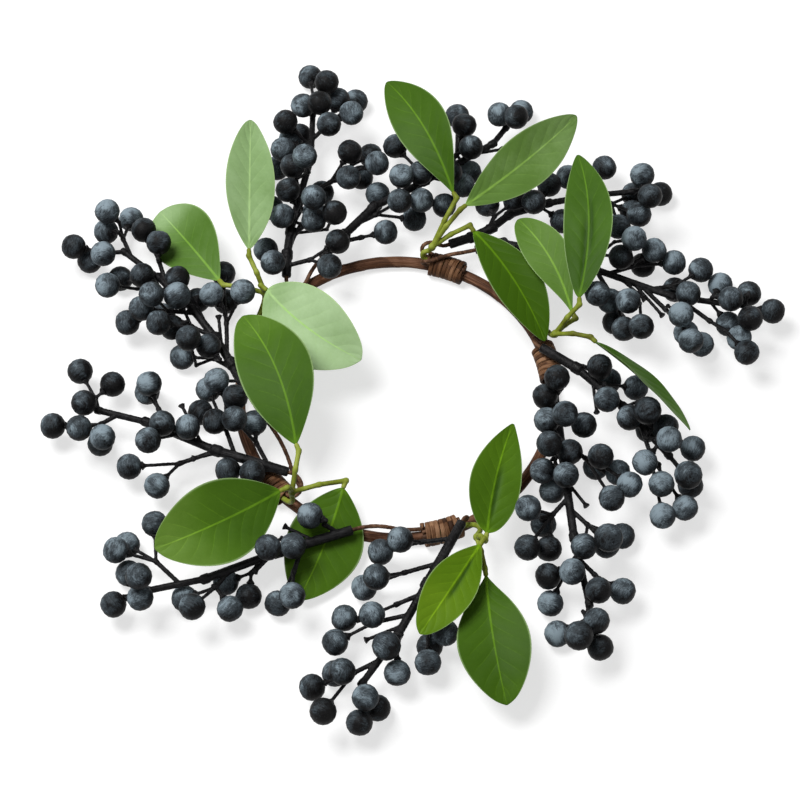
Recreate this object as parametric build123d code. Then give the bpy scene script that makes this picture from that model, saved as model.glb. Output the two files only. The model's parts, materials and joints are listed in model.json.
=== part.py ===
from build123d import *
import math
import os

import numpy as np

# A candle ring: a tape-wrapped wire ring that carries ten sprays of dark berries and five picks of
# three leaves, each bound on with a few turns of wire. Millimetres, +Z up. The origin is the ring's
# centre at the level of the table that the ring lies on.

# Ring: a steel wire in a winding of paper tape
ring_radius = 62.5
core_radius = 1.2
core_clearance = 0.05
wrap_radius = 2.4

# Bindings: wire wound round the ring and the ends of the stems laid on top of it
winding_wire_radius = 0.6
winding_pitch = 1.85
winding_turns = 8
winding_clearance = 0.05
bundle_radius = 3.65
table_flat_depth = 0.5
binding_bearings = (141.0, 71.0, 13.5, -73.5, 219.0)

# Stem ends that lie in the bindings, and how far they run straight before the root of a spray
tail_radius = 0.8
root_lead = 1.2
slot_angles = {"inner": -40.0, "top": 0.0, "outer": 40.0}

# Berry stems: thick at the root, with side branches and twigs that end in a flared cup
stem_root_radius = 1.85
stem_tip_radius = 0.95
branch_radius = 0.85
twig_radius = 0.62
cup_radius = 1.45
cup_length = 1.7
fork_clearance = 2.5
socket_depth = 4.0
socket_clearance = 0.05
stem_root_height = 9.5
stem_height = 12.6

# Berries
berry_radius = 5.15
big_berry_radius = 5.6
berry_gap = 0.3
table_gap = 0.35
lift_step = 0.4
top_level_rise = 6.5
middle_level_drop = 1.5
highest_berry = 36.0
twig_bows = (2.0, 4.0, 6.5)

# Leaf picks: one stem from the binding to a hub, with three leaf stalks
pick_radius = 1.0
stalk_radius = 0.75
stalk_rise = 1.5
stalk_lead = 3.2
leaf_thickness = 0.6
leaf_edge_thickness = 0.35
leaf_tip_width = 1.0
leaf_width = 30.0
leaf_height = 28.0

# The sight line of the photograph, along which the places below were read
sight_elevation = 62.0
sight_distance = 1150.0

# Lengths of the sprays, from the root to the farthest berry, as the sight line shows them
spray_1_length = 94.5
spray_2_length = 86.8
spray_3_length = 102.6
spray_4_length = 80.6
spray_5_length = 107.2
spray_6_length = 81.3
spray_7_length = 113.9
spray_8_length = 94.8
spray_9_length = 103.0
spray_10_length = 99.0

# How finely routes and blades are sampled to test the room round them
sample_spacing = 0.8
berry_owner_offset = 100

# Shape shares
flat_turn_share = 0.0001
reach_shares = (1.0, 0.3, 0.45, 0.6, 0.75, 0.9, 1.1, 1.3, 1.6, 2.0, 2.6, 3.4)
bow_part_shares = (0.5, 0.25)
winding_start_share = 0.3
knuckle_share = 1.25
knuckle_bevel_share = 0.35
knuckle_inset_share = 0.5
knuckle_reach_share = 1.5
fork_share = 0.5
leaf_arch_share = 0.07
leaf_fold_share = 0.18
leaf_station_shares = (0.0, 0.04, 0.12, 0.25, 0.4, 0.55, 0.7, 0.84, 0.94, 1.0)

# Each spray: the binding that holds it, the end of the binding that it leaves by, its slot there, its
# root in shares of the ring's radius, its heading, and in shares of its length the stations of its main
# stem (along, across), its bunches and its bare stubs. A bunch leaves the stem at the first share, and
# lists its berries as along, across and level.
sprays = {
    1: dict(
        binding=5, end=1, slot="inner", root_shares=(-0.957, 0.054), heading=140.0,
        length=spray_1_length, via_shares=((-0.675, -0.426, 0.57, 105.0),),
        stem_shares=((0.0, 0.0), (0.13, -0.05), (0.25, -0.09), (0.4, -0.12), (0.6, -0.13), (0.78, -0.12)),
        bunch_shares=(
            (0.78, ((0.958, 0.0, "middle"), (0.867, 0.003, "low"), (0.843, -0.057, "top"))),
            (0.74, ((0.893, -0.137, "middle"), (0.945, -0.206, "middle"), (0.845, -0.245, "low"))),
            (0.55, ((0.776, -0.245, "middle"), (0.693, -0.245, "top"))),
            (0.5, ((0.743, 0.033, "top"), (0.719, -0.023, "low"), (0.658, -0.093, "low"))),
            (0.38, ((0.577, 0.1, "middle"), (0.571, 0.017, "middle"), (0.576, -0.057, "top"))),
            (0.25, ((0.476, 0.016, "top"), (0.48, -0.02, "low"), (0.489, -0.123, "big"),
                    (0.419, -0.006, "low"))),
            (0.3, ((0.536, -0.18, "middle"), (0.41, -0.163, "low"))),
            (0.1, ((0.306, 0.063, "low"), (0.337, -0.015, "top"), (0.25, -0.045, "low"))),
            (0.16, ((0.315, -0.236, "low"), (0.287, -0.315, "top"), (0.4, -0.32, "low"),
                    (0.38, -0.22, "low"))),
        ),
        stub_shares=((0.2, (0.3, -0.17)), (0.05, (0.12, 0.04))),
    ),
    2: dict(
        binding=1, end=-1, slot="outer", root_shares=(-0.726, 0.739), heading=82.3,
        length=spray_2_length, root_height_share=1.15,
        stem_shares=((0.04, -0.01), (0.14, 0.0), (0.25, 0.0), (0.4, -0.02), (0.6, -0.05), (0.8, -0.03)),
        bunch_shares=(
            (0.8, ((0.967, 0.004, "low"), (0.954, -0.074, "top"), (0.854, -0.054, "top"),
                   (0.832, 0.02, "middle"))),
            (0.68, ((0.88, -0.137, "middle"), (0.828, -0.206, "top"), (0.884, -0.219, "low"),
                    (0.763, -0.11, "top"))),
            (0.52, ((0.747, 0.09, "top"), (0.693, 0.016, "low"), (0.667, 0.055, "low"),
                    (0.619, 0.085, "low"))),
            (0.42, ((0.602, -0.019, "top"), (0.55, 0.03, "low"), (0.53, 0.1, "low"))),
            (0.4, ((0.65, -0.223, "top"), (0.532, -0.232, "top"), (0.54, -0.29, "low"),
                   (0.645, -0.32, "low"), (0.615, -0.354, "top"))),
            (0.25, ((0.437, 0.037, "top"), (0.42, -0.085, "top"), (0.445, -0.12, "low"))),
            (0.15, ((0.315, 0.046, "top"), (0.35, -0.1, "low"), (0.315, -0.1, "low"),
                    (0.363, -0.19, "middle"), (0.345, 0.1, "low"))),
            (0.09, ((0.232, -0.223, "top"), (0.115, -0.2, "top"))),
            (0.08, ((0.097, 0.06, "top"), (0.15, 0.1, "low"))),
        ),
        stub_shares=(),
    ),
    3: dict(
        binding=1, end=-1, slot="inner", root_shares=(-0.477, 0.912), heading=36.6,
        length=spray_3_length,
        stem_shares=((0.0, 0.0), (0.12, 0.02), (0.28, 0.04), (0.5, 0.0), (0.8, -0.04), (0.88, -0.02)),
        bunch_shares=(
            (0.88, ((0.936, -0.01, "top"), (0.963, -0.006, "low"), (0.889, 0.037, "middle"))),
            (0.6, ((0.723, 0.0, "top"), (0.754, 0.085, "top"), (0.754, 0.13, "low"),
                   (0.66, -0.075, "low"))),
            (0.45, ((0.61, -0.1, "low"), (0.6, -0.03, "low"), (0.58, 0.06, "low"),
                    (0.489, 0.18, "middle"))),
            (0.32, ((0.44, 0.072, "top"), (0.506, 0.037, "low"), (0.506, -0.12, "low"),
                    (0.445, -0.05, "low"))),
            (0.18, ((0.376, -0.002, "top"), (0.323, 0.07, "low"), (0.38, -0.093, "low"))),
            (0.08, ((0.26, -0.067, "middle"),)),
        ),
        stub_shares=((0.72, (0.82, -0.08)),),
    ),
    4: dict(
        binding=2, end=1, slot="outer", root_shares=(0.47, 1.142), heading=10.6,
        length=spray_4_length, root_height_share=1.25, via_shares=((0.222, 1.012, 0.9, 2.0),),
        stem_shares=(
            (-0.12, -0.09), (0.0, -0.075), (0.1, -0.05), (0.2, 0.0), (0.4, 0.02), (0.6, 0.02), (0.82, 0.0),
        ),
        bunch_shares=(
            (0.82, ((0.954, -0.037, "low"), (0.902, -0.037, "top"), (0.884, 0.072, "middle"))),
            (0.62, ((0.823, -0.015, "low"), (0.832, -0.119, "middle"), (0.8, -0.1, "low"),
                    (0.72, -0.158, "middle"))),
            (0.5, ((0.706, 0.143, "middle"), (0.52, 0.13, "low"))),
            (0.3, ((0.42, 0.11, "low"), (0.45, -0.08, "low"), (0.33, 0.04, "low"))),
            (0.08, ((0.1, 0.07, "low"), (0.24, 0.06, "low"))),
        ),
        stub_shares=(),
    ),
    5: dict(
        binding=2, end=1, slot="inner", root_shares=(0.79, 1.027), heading=-15.6,
        length=spray_5_length, root_height_share=1.22, via_shares=((0.235, 0.9, 0.84, 25.0),),
        stem_shares=(
            (-0.15, -0.08), (-0.06, -0.03), (0.08, -0.02), (0.3, -0.03), (0.6, -0.05), (0.83, -0.02),
        ),
        bunch_shares=(
            (0.83, ((0.98, -0.002, "middle"), (0.906, -0.05, "top"), (0.876, 0.037, "middle"))),
            (0.68, ((0.817, 0.0, "top"), (0.765, 0.04, "low"), (0.832, -0.093, "low"))),
            (0.62, ((0.887, -0.132, "middle"), (0.928, -0.176, "middle"))),
            (0.52, ((0.68, 0.074, "middle"), (0.658, -0.023, "top"), (0.606, -0.023, "low"))),
            (0.48, ((0.654, -0.106, "top"), (0.715, -0.19, "middle"), (0.758, -0.193, "low"),
                    (0.69, -0.167, "low"))),
            (0.35, ((0.576, 0.074, "middle"), (0.493, 0.098, "middle"), (0.467, 0.033, "low"))),
            (0.2, ((0.409, 0.12, "middle"), (0.38, 0.04, "low"))),
            (0.3, ((0.45, -0.11, "top"), (0.523, -0.189, "top"), (0.463, -0.215, "middle"),
                   (0.423, -0.2, "low"))),
            (0.12, ((0.332, -0.115, "middle"), (0.384, -0.128, "low"))),
        ),
        stub_shares=((0.45, (0.59, -0.13)), (0.4, (0.51, -0.09))),
    ),
    6: dict(
        binding=3, end=1, slot="top", root_shares=(0.926, 0.34), heading=-41.6,
        length=spray_6_length, root_height_share=1.25,
        stem_shares=((0.0, 0.0), (0.2, 0.04), (0.5, 0.05), (0.82, 0.02)),
        bunch_shares=(
            (0.12, ((0.278, 0.12, "top"), (0.358, 0.098, "low"))),
            (0.25, ((0.412, 0.024, "top"), (0.48, 0.16, "low"))),
            (0.4, ((0.597, 0.115, "big"), (0.554, 0.03, "low"), (0.663, 0.046, "low"))),
            (0.55, ((0.72, 0.115, "low"), (0.771, 0.08, "top"), (0.889, 0.124, "middle"))),
            (0.82, ((0.958, 0.011, "big"), (1.0, -0.02, "low"))),
            (0.62, ((0.758, -0.085, "middle"), (0.889, -0.11, "top"), (1.054, -0.12, "middle"),
                    (0.997, -0.223, "middle"))),
        ),
        stub_shares=((0.3, (0.42, -0.06)),),
    ),
    7: dict(
        binding=3, end=-1, slot="inner", root_shares=(0.982, 0.208), heading=-81.9,
        length=spray_7_length,
        stem_shares=((0.08, 0.0), (0.3, 0.0), (0.6, 0.0), (0.84, 0.02)),
        bunch_shares=(
            (0.84, ((0.997, 0.037, "middle"), (0.902, 0.037, "middle"), (0.945, -0.032, "big"),
                    (0.928, -0.106, "low"))),
            (0.68, ((0.812, 0.143, "middle"), (0.797, 0.059, "low"))),
            (0.66, ((0.819, -0.115, "low"), (0.723, -0.11, "middle"), (0.719, -0.023, "top"))),
            (0.5, ((0.637, 0.03, "top"), (0.619, 0.12, "big"), (0.62, 0.168, "low"),
                   (0.645, 0.11, "low"))),
            (0.46, ((0.628, -0.093, "middle"), (0.613, -0.167, "middle"), (0.54, -0.1, "low"),
                    (0.476, -0.145, "top"))),
            (0.22, ((0.354, -0.076, "middle"), (0.38, 0.003, "middle"), (0.428, -0.054, "low"))),
            (0.1, ((0.302, 0.028, "low"), (0.263, -0.04, "middle"), (0.18, -0.037, "middle"))),
            (0.12, ((0.167, 0.03, "top"), (0.097, -0.032, "middle"), (0.037, 0.02, "top"))),
            (0.15, ((0.215, 0.09, "top"),)),
            (0.26, ((0.332, 0.133, "top"), (0.367, 0.11, "low"), (0.445, 0.22, "middle"),
                    (0.397, 0.185, "low"), (0.483, 0.15, "top"))),
        ),
        stub_shares=((0.4, (0.5, 0.06)),),
    ),
    8: dict(
        binding=4, end=1, slot="top", root_shares=(0.419, -0.778), heading=-119.6,
        length=spray_8_length, root_height_share=1.25,
        stem_shares=((0.0, 0.0), (0.3, 0.0), (0.55, 0.0), (0.8, -0.03)),
        bunch_shares=(
            (0.8, ((0.95, 0.042, "middle"), (0.858, 0.077, "low"), (0.845, 0.011, "top"))),
            (0.68, ((0.984, -0.115, "top"), (0.919, -0.206, "middle"), (0.797, -0.128, "top"),
                    (0.82, -0.15, "low"))),
            (0.5, ((0.689, 0.077, "middle"), (0.612, -0.019, "big"))),
            (0.35, ((0.586, 0.168, "middle"), (0.523, 0.14, "low"), (0.44, 0.17, "low"))),
            (0.45, ((0.597, -0.232, "middle"), (0.706, -0.215, "middle"))),
            (0.35, ((0.528, -0.137, "middle"),)),
            (0.2, ((0.38, -0.2, "top"), (0.445, -0.223, "low"))),
            (0.08, ((0.28, -0.237, "middle"), (0.193, -0.19, "middle"))),
        ),
        stub_shares=((0.5, (0.637, -0.11)), (0.22, (0.34, 0.07)), (0.28, (0.4, 0.08))),
    ),
    9: dict(
        binding=4, end=-1, slot="inner", root_shares=(-0.285, -0.829), heading=-163.5,
        length=spray_9_length, root_height_share=1.2,
        stem_shares=((0.0, 0.0), (0.3, 0.0), (0.6, 0.02), (0.83, 0.0)),
        bunch_shares=(
            (0.83, ((0.971, 0.014, "middle"), (0.863, 0.018, "middle"), (0.845, -0.063, "top"),
                    (0.88, -0.085, "low"))),
            (0.7, ((0.902, -0.186, "middle"), (0.854, -0.193, "low"), (0.728, -0.241, "middle"))),
            (0.5, ((0.68, 0.109, "top"), (0.7, 0.07, "low"), (0.541, 0.159, "middle"))),
            (0.35, ((0.458, 0.133, "low"), (0.528, 0.055, "low"))),
            (0.2, ((0.358, 0.192, "low"), (0.295, 0.178, "top"))),
            (0.17, ((0.332, -0.028, "top"), (0.237, -0.006, "low"))),
            (0.05, ((0.141, -0.1, "top"),)),
        ),
        stub_shares=((0.15, (0.25, -0.09)), (0.32, (0.41, 0.05)), (0.48, (0.58, 0.06))),
    ),
    10: dict(
        binding=5, end=1, slot="top", root_shares=(-0.694, -0.458), heading=169.1,
        length=spray_10_length, root_height_share=1.25,
        stem_shares=((0.0, 0.0), (0.3, -0.03), (0.6, -0.09), (0.8, -0.1)),
        bunch_shares=(
            (0.72, ((0.969, -0.003, "middle"), (0.863, -0.015, "top"), (0.763, 0.003, "top"),
                    (0.767, 0.03, "low"))),
            (0.8, ((0.863, -0.119, "middle"), (0.902, -0.241, "middle"), (0.763, -0.215, "middle"))),
            (0.5, ((0.619, -0.245, "middle"), (0.62, -0.21, "low"))),
            (0.42, ((0.537, -0.097, "top"), (0.58, -0.019, "top"), (0.432, -0.102, "middle"))),
            (0.3, ((0.51, 0.155, "middle"), (0.635, 0.1, "middle"))),
            (0.04, ((0.141, 0.03, "middle"), (0.241, 0.04, "middle"))),
            (0.22, ((0.354, -0.31, "top"), (0.267, -0.258, "top"), (0.38, -0.267, "low"),
                    (0.393, -0.17, "low"), (0.33, -0.145, "low"))),
            (0.08, ((0.171, -0.171, "middle"), (0.254, -0.17, "low"))),
        ),
        stub_shares=((0.28, (0.39, 0.02)), (0.36, (0.475, -0.185))),
    ),
}

# Each pick: the binding, the end and slot that its stem leaves by, its hub in shares of the ring's
# radius with its height in shares of the leaves' height, and its leaves: base and tip with their
# heights, the width, the turn about the midrib, how far it arches, how far towards the tip it is
# widest, how slim it is at the base and at the tip, and how far its midrib leans to one side
picks = {
    1: dict(
        binding=1, end=1, slot="top", hub_shares=(-0.842, 0.688, 0.58),
        leaf_shares={
            "a": dict(
                base=(-0.944, 0.97, 0.86), tip=(-0.934, 1.795, 0.95), width=0.69, roll=-14.0, arch=1.0,
                belly=0.85, base_slim=0.95, tip_slim=0.68, lean=0.02,
            ),
            "b": dict(
                base=(-1.136, 0.771, 0.55), tip=(-1.514, 1.206, 0.28), width=0.9, roll=0.0, arch=0.6,
                belly=1.25, base_slim=0.7, tip_slim=0.6, lean=-0.01,
            ),
            "c": dict(
                base=(-0.829, 0.707, 0.78), tip=(-0.227, 0.259, 0.74), width=1.04, roll=-4.0, arch=0.8,
                belly=0.95, base_slim=0.7, tip_slim=0.62, lean=-0.045,
            ),
        },
    ),
    2: dict(
        binding=2, end=1, slot="top", hub_shares=(0.227, 0.982, 0.52),
        leaf_shares={
            "a": dict(
                base=(0.362, 1.334, 0.9), tip=(-0.061, 2.038, 1.05), width=0.74, roll=10.0, arch=1.0,
                belly=1.15, base_slim=0.9, tip_slim=0.78, lean=-0.075,
            ),
            "b": dict(
                base=(0.445, 1.251, 0.98), tip=(1.152, 1.821, 1.12), width=0.73, roll=-8.0, arch=1.0,
                belly=1.0, base_slim=0.85, tip_slim=0.75, lean=-0.01,
            ),
            "c": dict(
                base=(0.496, 1.082, 0.72), tip=(0.95, 0.381, 0.55), width=0.7, roll=24.0, arch=0.8,
                belly=1.05, base_slim=0.8, tip_slim=0.8, lean=0.03,
            ),
        },
    ),
    3: dict(
        binding=3, end=1, slot="outer", hub_shares=(1.014, 0.426, 0.62),
        leaf_shares={
            "a": dict(
                base=(1.123, 0.566, 0.76), tip=(0.78, 1.16, 0.88), width=0.58, roll=0.0, arch=0.8,
                belly=1.3, base_slim=0.95, tip_slim=0.62, lean=-0.07,
            ),
            "b": dict(
                base=(1.17, 0.66, 1.06), tip=(1.162, 1.571, 1.2), width=0.67, roll=12.0, arch=1.0,
                belly=0.92, base_slim=0.8, tip_slim=0.8, lean=-0.08,
            ),
            "c": dict(
                base=(1.277, 0.374, 0.92), tip=(1.878, -0.189, 0.95), width=0.7, roll=78.0, arch=0.5,
                belly=0.86, base_slim=0.8, tip_slim=0.8, lean=0.0,
            ),
        },
    ),
    4: dict(
        binding=4, end=1, slot="outer", hub_shares=(0.515, -0.874, 0.55),
        leaf_shares={
            "a": dict(
                base=(0.579, -0.848, 0.62), tip=(0.746, -0.15, 0.72), width=0.68, roll=-10.0, arch=0.8,
                belly=0.74, base_slim=0.8, tip_slim=0.9, lean=0.045,
            ),
            "b": dict(
                base=(0.534, -0.925, 0.78), tip=(0.15, -1.494, 0.86), width=0.63, roll=0.0, arch=0.8,
                belly=1.1, base_slim=0.85, tip_slim=0.62, lean=0.0,
            ),
            "c": dict(
                base=(0.573, -1.123, 0.55), tip=(0.707, -1.949, 0.5), width=0.93, roll=0.0, arch=1.0,
                belly=1.2, base_slim=0.95, tip_slim=0.65, lean=-0.02,
            ),
        },
    ),
    5: dict(
        binding=5, end=1, slot="outer", hub_shares=(-0.669, -0.586, 0.62),
        leaf_shares={
            "a": dict(
                base=(-0.643, -0.278, 0.86), tip=(-0.982, 0.541, 1.0), width=0.98, roll=8.0, arch=1.0,
                belly=1.0, base_slim=0.85, tip_slim=0.65, lean=-0.08,
            ),
            "b": dict(
                base=(-0.746, -0.579, 0.86), tip=(-1.546, -0.95, 0.95), width=1.06, roll=0.0, arch=0.8,
                belly=1.05, base_slim=0.8, tip_slim=0.65, lean=0.02,
            ),
            "c": dict(
                base=(-0.342, -0.56, 0.47), tip=(-0.63, -1.277, 0.2), width=1.0, roll=0.0, arch=-0.4,
                belly=0.95, base_slim=0.85, tip_slim=0.7, lean=0.03,
            ),
        },
    ),
}

# Places and heights that follow from the sizes above
winding_radius = bundle_radius + winding_clearance + winding_wire_radius
winding_height = winding_radius + winding_wire_radius - table_flat_depth
ring_height = winding_height - (bundle_radius - wrap_radius - winding_clearance)
winding_length = winding_pitch * winding_turns
elevation = math.radians(sight_elevation)
eye = np.array((0.0, -math.cos(elevation), math.sin(elevation))) * sight_distance
picture_up = np.array((0.0, math.sin(elevation), math.cos(elevation)))
up = np.array((0.0, 0.0, 1.0))
from_start = (Align.CENTER, Align.CENTER, Align.MIN)
berry_radii = {"low": berry_radius, "middle": berry_radius, "top": berry_radius, "big": big_berry_radius}
lowest_start = berry_radius + table_gap
start_heights = {
    "low": lowest_start,
    "middle": stem_height - middle_level_drop,
    "top": stem_height + top_level_rise,
    "big": stem_height + top_level_rise,
}


def seen_at(across, above, height):
    """The point at a height that shows at a place of the picture plane through the ring's centre."""
    place = np.array((across, 0.0, 0.0)) + picture_up * above
    share = (eye[2] - height) / (eye[2] - place[2])
    return eye + (place - eye) * share


def unit(vector):
    return vector / np.linalg.norm(vector)


def way(degrees):
    """The level direction of a bearing."""
    return np.array((math.cos(math.radians(degrees)), math.sin(math.radians(degrees)), 0.0))


def along(start, end):
    """Points along a straight run, close enough together to stand for it."""
    count = max(2, int(np.linalg.norm(end - start) / sample_spacing) + 2)
    return start + (end - start) * np.linspace(0.0, 1.0, count)[:, None]


class Space:
    """The room already taken, as balls along every piece, each marked with the spray that owns it."""

    def __init__(self):
        self.centres = np.empty((0, 3))
        self.radii = np.empty(0)
        self.owners = np.empty(0, dtype=int)

    def take(self, points, radius, owner=0):
        points = np.atleast_2d(points)
        self.centres = np.vstack((self.centres, points))
        self.radii = np.append(self.radii, np.broadcast_to(radius, len(points)))
        self.owners = np.append(self.owners, np.full(len(points), owner))

    def near(self, place, reach):
        """The part of the taken room that lies within reach of a place."""
        part = Space()
        close = np.linalg.norm(self.centres - place, axis=1) - self.radii < reach
        part.centres = self.centres[close]
        part.radii = self.radii[close]
        part.owners = self.owners[close]
        return part

    def gap(self, points, radius, ignored=None):
        """The least gap between a run of balls and the room taken, apart from one owner's."""
        others = self.owners != ignored
        if not others.any():
            return math.inf
        steps = np.atleast_2d(points)[:, None, :] - self.centres[others][None, :, :]
        return float((np.linalg.norm(steps, axis=2) - self.radii[others]).min()) - radius


# Round bars, windings and other plain solids

def plane_at(point, direction):
    return Plane(origin=tuple(point), z_dir=tuple(direction))


def bar(start, end, radius):
    """A straight round bar."""
    length = float(np.linalg.norm(end - start))
    return plane_at(start, end - start) * Cylinder(radius, length, align=from_start)


def inner_bar(start, end, radius):
    """A bar between two knuckles, whose ends lie a little way inside them."""
    inset = unit(end - start) * radius * knuckle_inset_share
    return bar(start + inset, end - inset, radius)


def knuckle(start, point, radius):
    """The thicker joint at the end of a bar from start to point: a short barrel with bevelled rims."""
    half = radius * knuckle_share
    rim = half - radius * knuckle_bevel_share
    outline = Polyline((0, -half), (rim, -half), (half, -rim), (half, rim), (rim, half), (0, half),
                       close=True)
    return plane_at(point, point - start) * revolve(Plane.XZ * make_face(outline), Axis.Z)


def cup_bar(start, end):
    """The last stretch of a twig, from its knuckle, and the cup that it flares into, as one solid."""
    start = start + unit(end - start) * twig_radius * knuckle_inset_share
    length = float(np.linalg.norm(end - start))
    outline = Polyline((0, 0), (twig_radius, 0), (twig_radius, length - cup_length), (cup_radius, length),
                       (0, length), close=True)
    turned = revolve(Plane.XZ * make_face(outline), Axis.Z)
    return plane_at(start, end - start) * turned


def equal_reach(run, start_way, end_way):
    """The length of both end tangents where two arcs join and the tangents are alike."""
    both = start_way + end_way
    spread = 2.0 * (1.0 - start_way.dot(end_way))
    if spread < flat_turn_share:
        return run.dot(run) / (4.0 * run.dot(end_way))
    return (-run.dot(both) + math.sqrt(run.dot(both) ** 2 + spread * run.dot(run))) / spread


def arc_radius(chord, tangent):
    """The radius of the arc over a chord that leaves its start along a tangent."""
    return chord.dot(chord) / max(2.0 * np.linalg.norm(np.cross(chord, tangent)), flat_turn_share)


def arc_pair(start, start_way, end, end_way):
    """Two tangent arcs from one point and direction to another, split where they bend most gently."""
    run = end - start
    gentlest = 0.0
    for share in reach_shares:
        start_reach = equal_reach(run, start_way, end_way) * share
        below = run.dot(end_way) + start_reach * (1.0 - start_way.dot(end_way))
        end_reach = (run.dot(run) / 2.0 - start_reach * run.dot(start_way)) / below
        if end_reach <= 0.0:
            continue
        first = start + start_way * start_reach
        last = end - end_way * end_reach
        middle = first + (last - first) * start_reach / (start_reach + end_reach)
        onward = unit(last - first)
        radius = min(arc_radius(middle - start, start_way), arc_radius(end - middle, onward))
        if radius > gentlest:
            gentlest = radius
            pair = ((start, middle, start_way), (middle, end, onward))
    edges = []
    for low, high, tangent in pair:
        if np.linalg.norm(np.cross(unit(high - low), tangent)) < flat_turn_share:
            edges.append(Line(tuple(low), tuple(high)))
        else:
            edges.append(TangentArc(tuple(low), tuple(high), tangent=tuple(tangent)))
    return edges


def arc_route(stations):
    """The edges of a smooth route through stations, each a point and a direction."""
    edges = []
    for (start, start_way), (end, end_way) in zip(stations, stations[1:]):
        edges += arc_pair(start, unit(start_way), end, unit(end_way))
    return edges


def tube(edges, radius):
    """A round tube swept along a smooth route."""
    path = Wire([edge.edge() for edge in edges])
    return sweep(plane_at(path @ 0, path % 0) * Circle(radius), path=path)


def route_points(edges):
    """Points along a route, close enough together to stand for it."""
    points = []
    for edge in edges:
        count = max(2, int(edge.length / sample_spacing) + 2)
        points += [tuple(edge @ share) for share in np.linspace(0.0, 1.0, count)]
    return np.array(points)


def tightest(edges):
    """The least bending radius of a route."""
    return min((edge.radius for edge in edges if edge.geom_type == GeomType.CIRCLE), default=math.inf)


# The ring and its bindings

def ring_point(bearing, outward=0.0, height=ring_height):
    return way(bearing) * (ring_radius + outward) + up * height


def winding_stations(bearing):
    """The points and directions of a winding, four to a turn, along the ring's own curve."""
    stations = []
    start = bearing - math.degrees(winding_length / ring_radius) / 2.0
    advance = winding_pitch / ring_radius / (2.0 * math.pi)
    for quarter in range(4 * winding_turns + 1):
        angle = (winding_start_share + quarter / 4.0) * 2.0 * math.pi
        place = start + math.degrees(winding_pitch / ring_radius) * quarter / 4.0
        out = way(place)
        round_way = out * -math.sin(angle) + up * math.cos(angle)
        reach = ring_radius + winding_radius * math.cos(angle)
        point = out * reach + up * (winding_height + winding_radius * math.sin(angle))
        stations.append((point, np.cross(up, out) * reach * advance + round_way * winding_radius))
    return stations


def winding_gap(points):
    """The least gap between turns of a winding, between points more than half a turn apart."""
    half_turn = len(points) // (2 * winding_turns)
    least = math.inf
    for index in range(len(points) - half_turn):
        apart = points[index + half_turn:] - points[index]
        least = min(least, float(np.linalg.norm(apart, axis=1).min()))
    return least - 2.0 * winding_wire_radius


def binding_end(bearing, end):
    """The bearing at which a binding ends, and the direction of the ring there, out of the binding."""
    place = bearing + end * math.degrees((winding_length / 2.0 + winding_wire_radius) / ring_radius)
    return place, np.cross(up, way(place)) * end


def bound_stations(binding, end, slot, radius):
    """The stations of a stem's end where it lies on the ring inside a binding."""
    bearing = binding_bearings[binding - 1]
    angle = math.radians(slot_angles[slot])
    reach = bundle_radius - winding_clearance - radius
    outward = reach * math.sin(angle)
    height = winding_height + reach * math.cos(angle)
    last, direction = binding_end(bearing, end)
    stations = []
    for share in (-1.0, 0.0, 1.0):
        place = bearing + (last - bearing) * share
        stations.append((ring_point(place, outward, height), np.cross(up, way(place)) * end))
    return stations


# The layout: where each stem, stalk, leaf and berry lies

def spray_place(spray, share_along, share_across, height):
    """A place in a spray's own shares, seen along the sight line, at a height."""
    heading = math.radians(spray["heading"])
    across_root, above_root = (share * ring_radius for share in spray["root_shares"])
    x = across_root + spray["length"] * (share_along * math.cos(heading) - share_across * math.sin(heading))
    y = above_root + spray["length"] * (share_along * math.sin(heading) + share_across * math.cos(heading))
    return seen_at(x, y, height)


def main_stem(spray):
    """The stations of a spray's main stem, with the share along the spray and the radius at each."""
    shares = spray["stem_shares"]
    root_height = stem_root_height * spray.get("root_height_share", 1.0)
    stations = []
    for index, (share_along, share_across) in enumerate(shares):
        progress = index / (len(shares) - 1)
        height = root_height + (stem_height - root_height) * min(1.0, 2.0 * progress)
        radius = stem_root_radius + (stem_tip_radius - stem_root_radius) * progress
        stations.append((share_along, spray_place(spray, share_along, share_across, height), radius))
    return stations


def on_stem(stations, share_along):
    """The point and the radius of a main stem at a share of the spray's length."""
    for (low, start, start_radius), (high, end, end_radius) in zip(stations, stations[1:]):
        if share_along <= high or high == stations[-1][0]:
            part = min(1.0, max(0.0, (share_along - low) / (high - low)))
            return start + (end - start) * part, start_radius + (end_radius - start_radius) * part


def leaf_blade(leaf):
    """A leaf's own frame: base, the directions along, across and out of the blade, and its sizes."""
    base, tip = (
        seen_at(place[0] * ring_radius, place[1] * ring_radius, place[2] * leaf_height)
        for place in (leaf["base"], leaf["tip"])
    )
    axis = unit(tip - base)
    facing = unit(np.cross(axis, np.cross(unit(eye - base), axis)))
    sideways = np.cross(facing, axis)
    roll = math.radians(leaf["roll"])
    normal = facing * math.cos(roll) + sideways * math.sin(roll)
    return dict(
        leaf, base=base, axis=axis, normal=normal, across=np.cross(normal, axis),
        length=float(np.linalg.norm(tip - base)), width=leaf["width"] * leaf_width,
    )


def leaf_half_width(blade, share):
    """Half the blade's width at a share of its length."""
    slim = blade["base_slim"] + (blade["tip_slim"] - blade["base_slim"]) * share
    swell = max(0.0, math.sin(math.pi * share ** blade["belly"])) ** slim
    return (leaf_tip_width + (blade["width"] - leaf_tip_width) * swell) / 2.0


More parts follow.
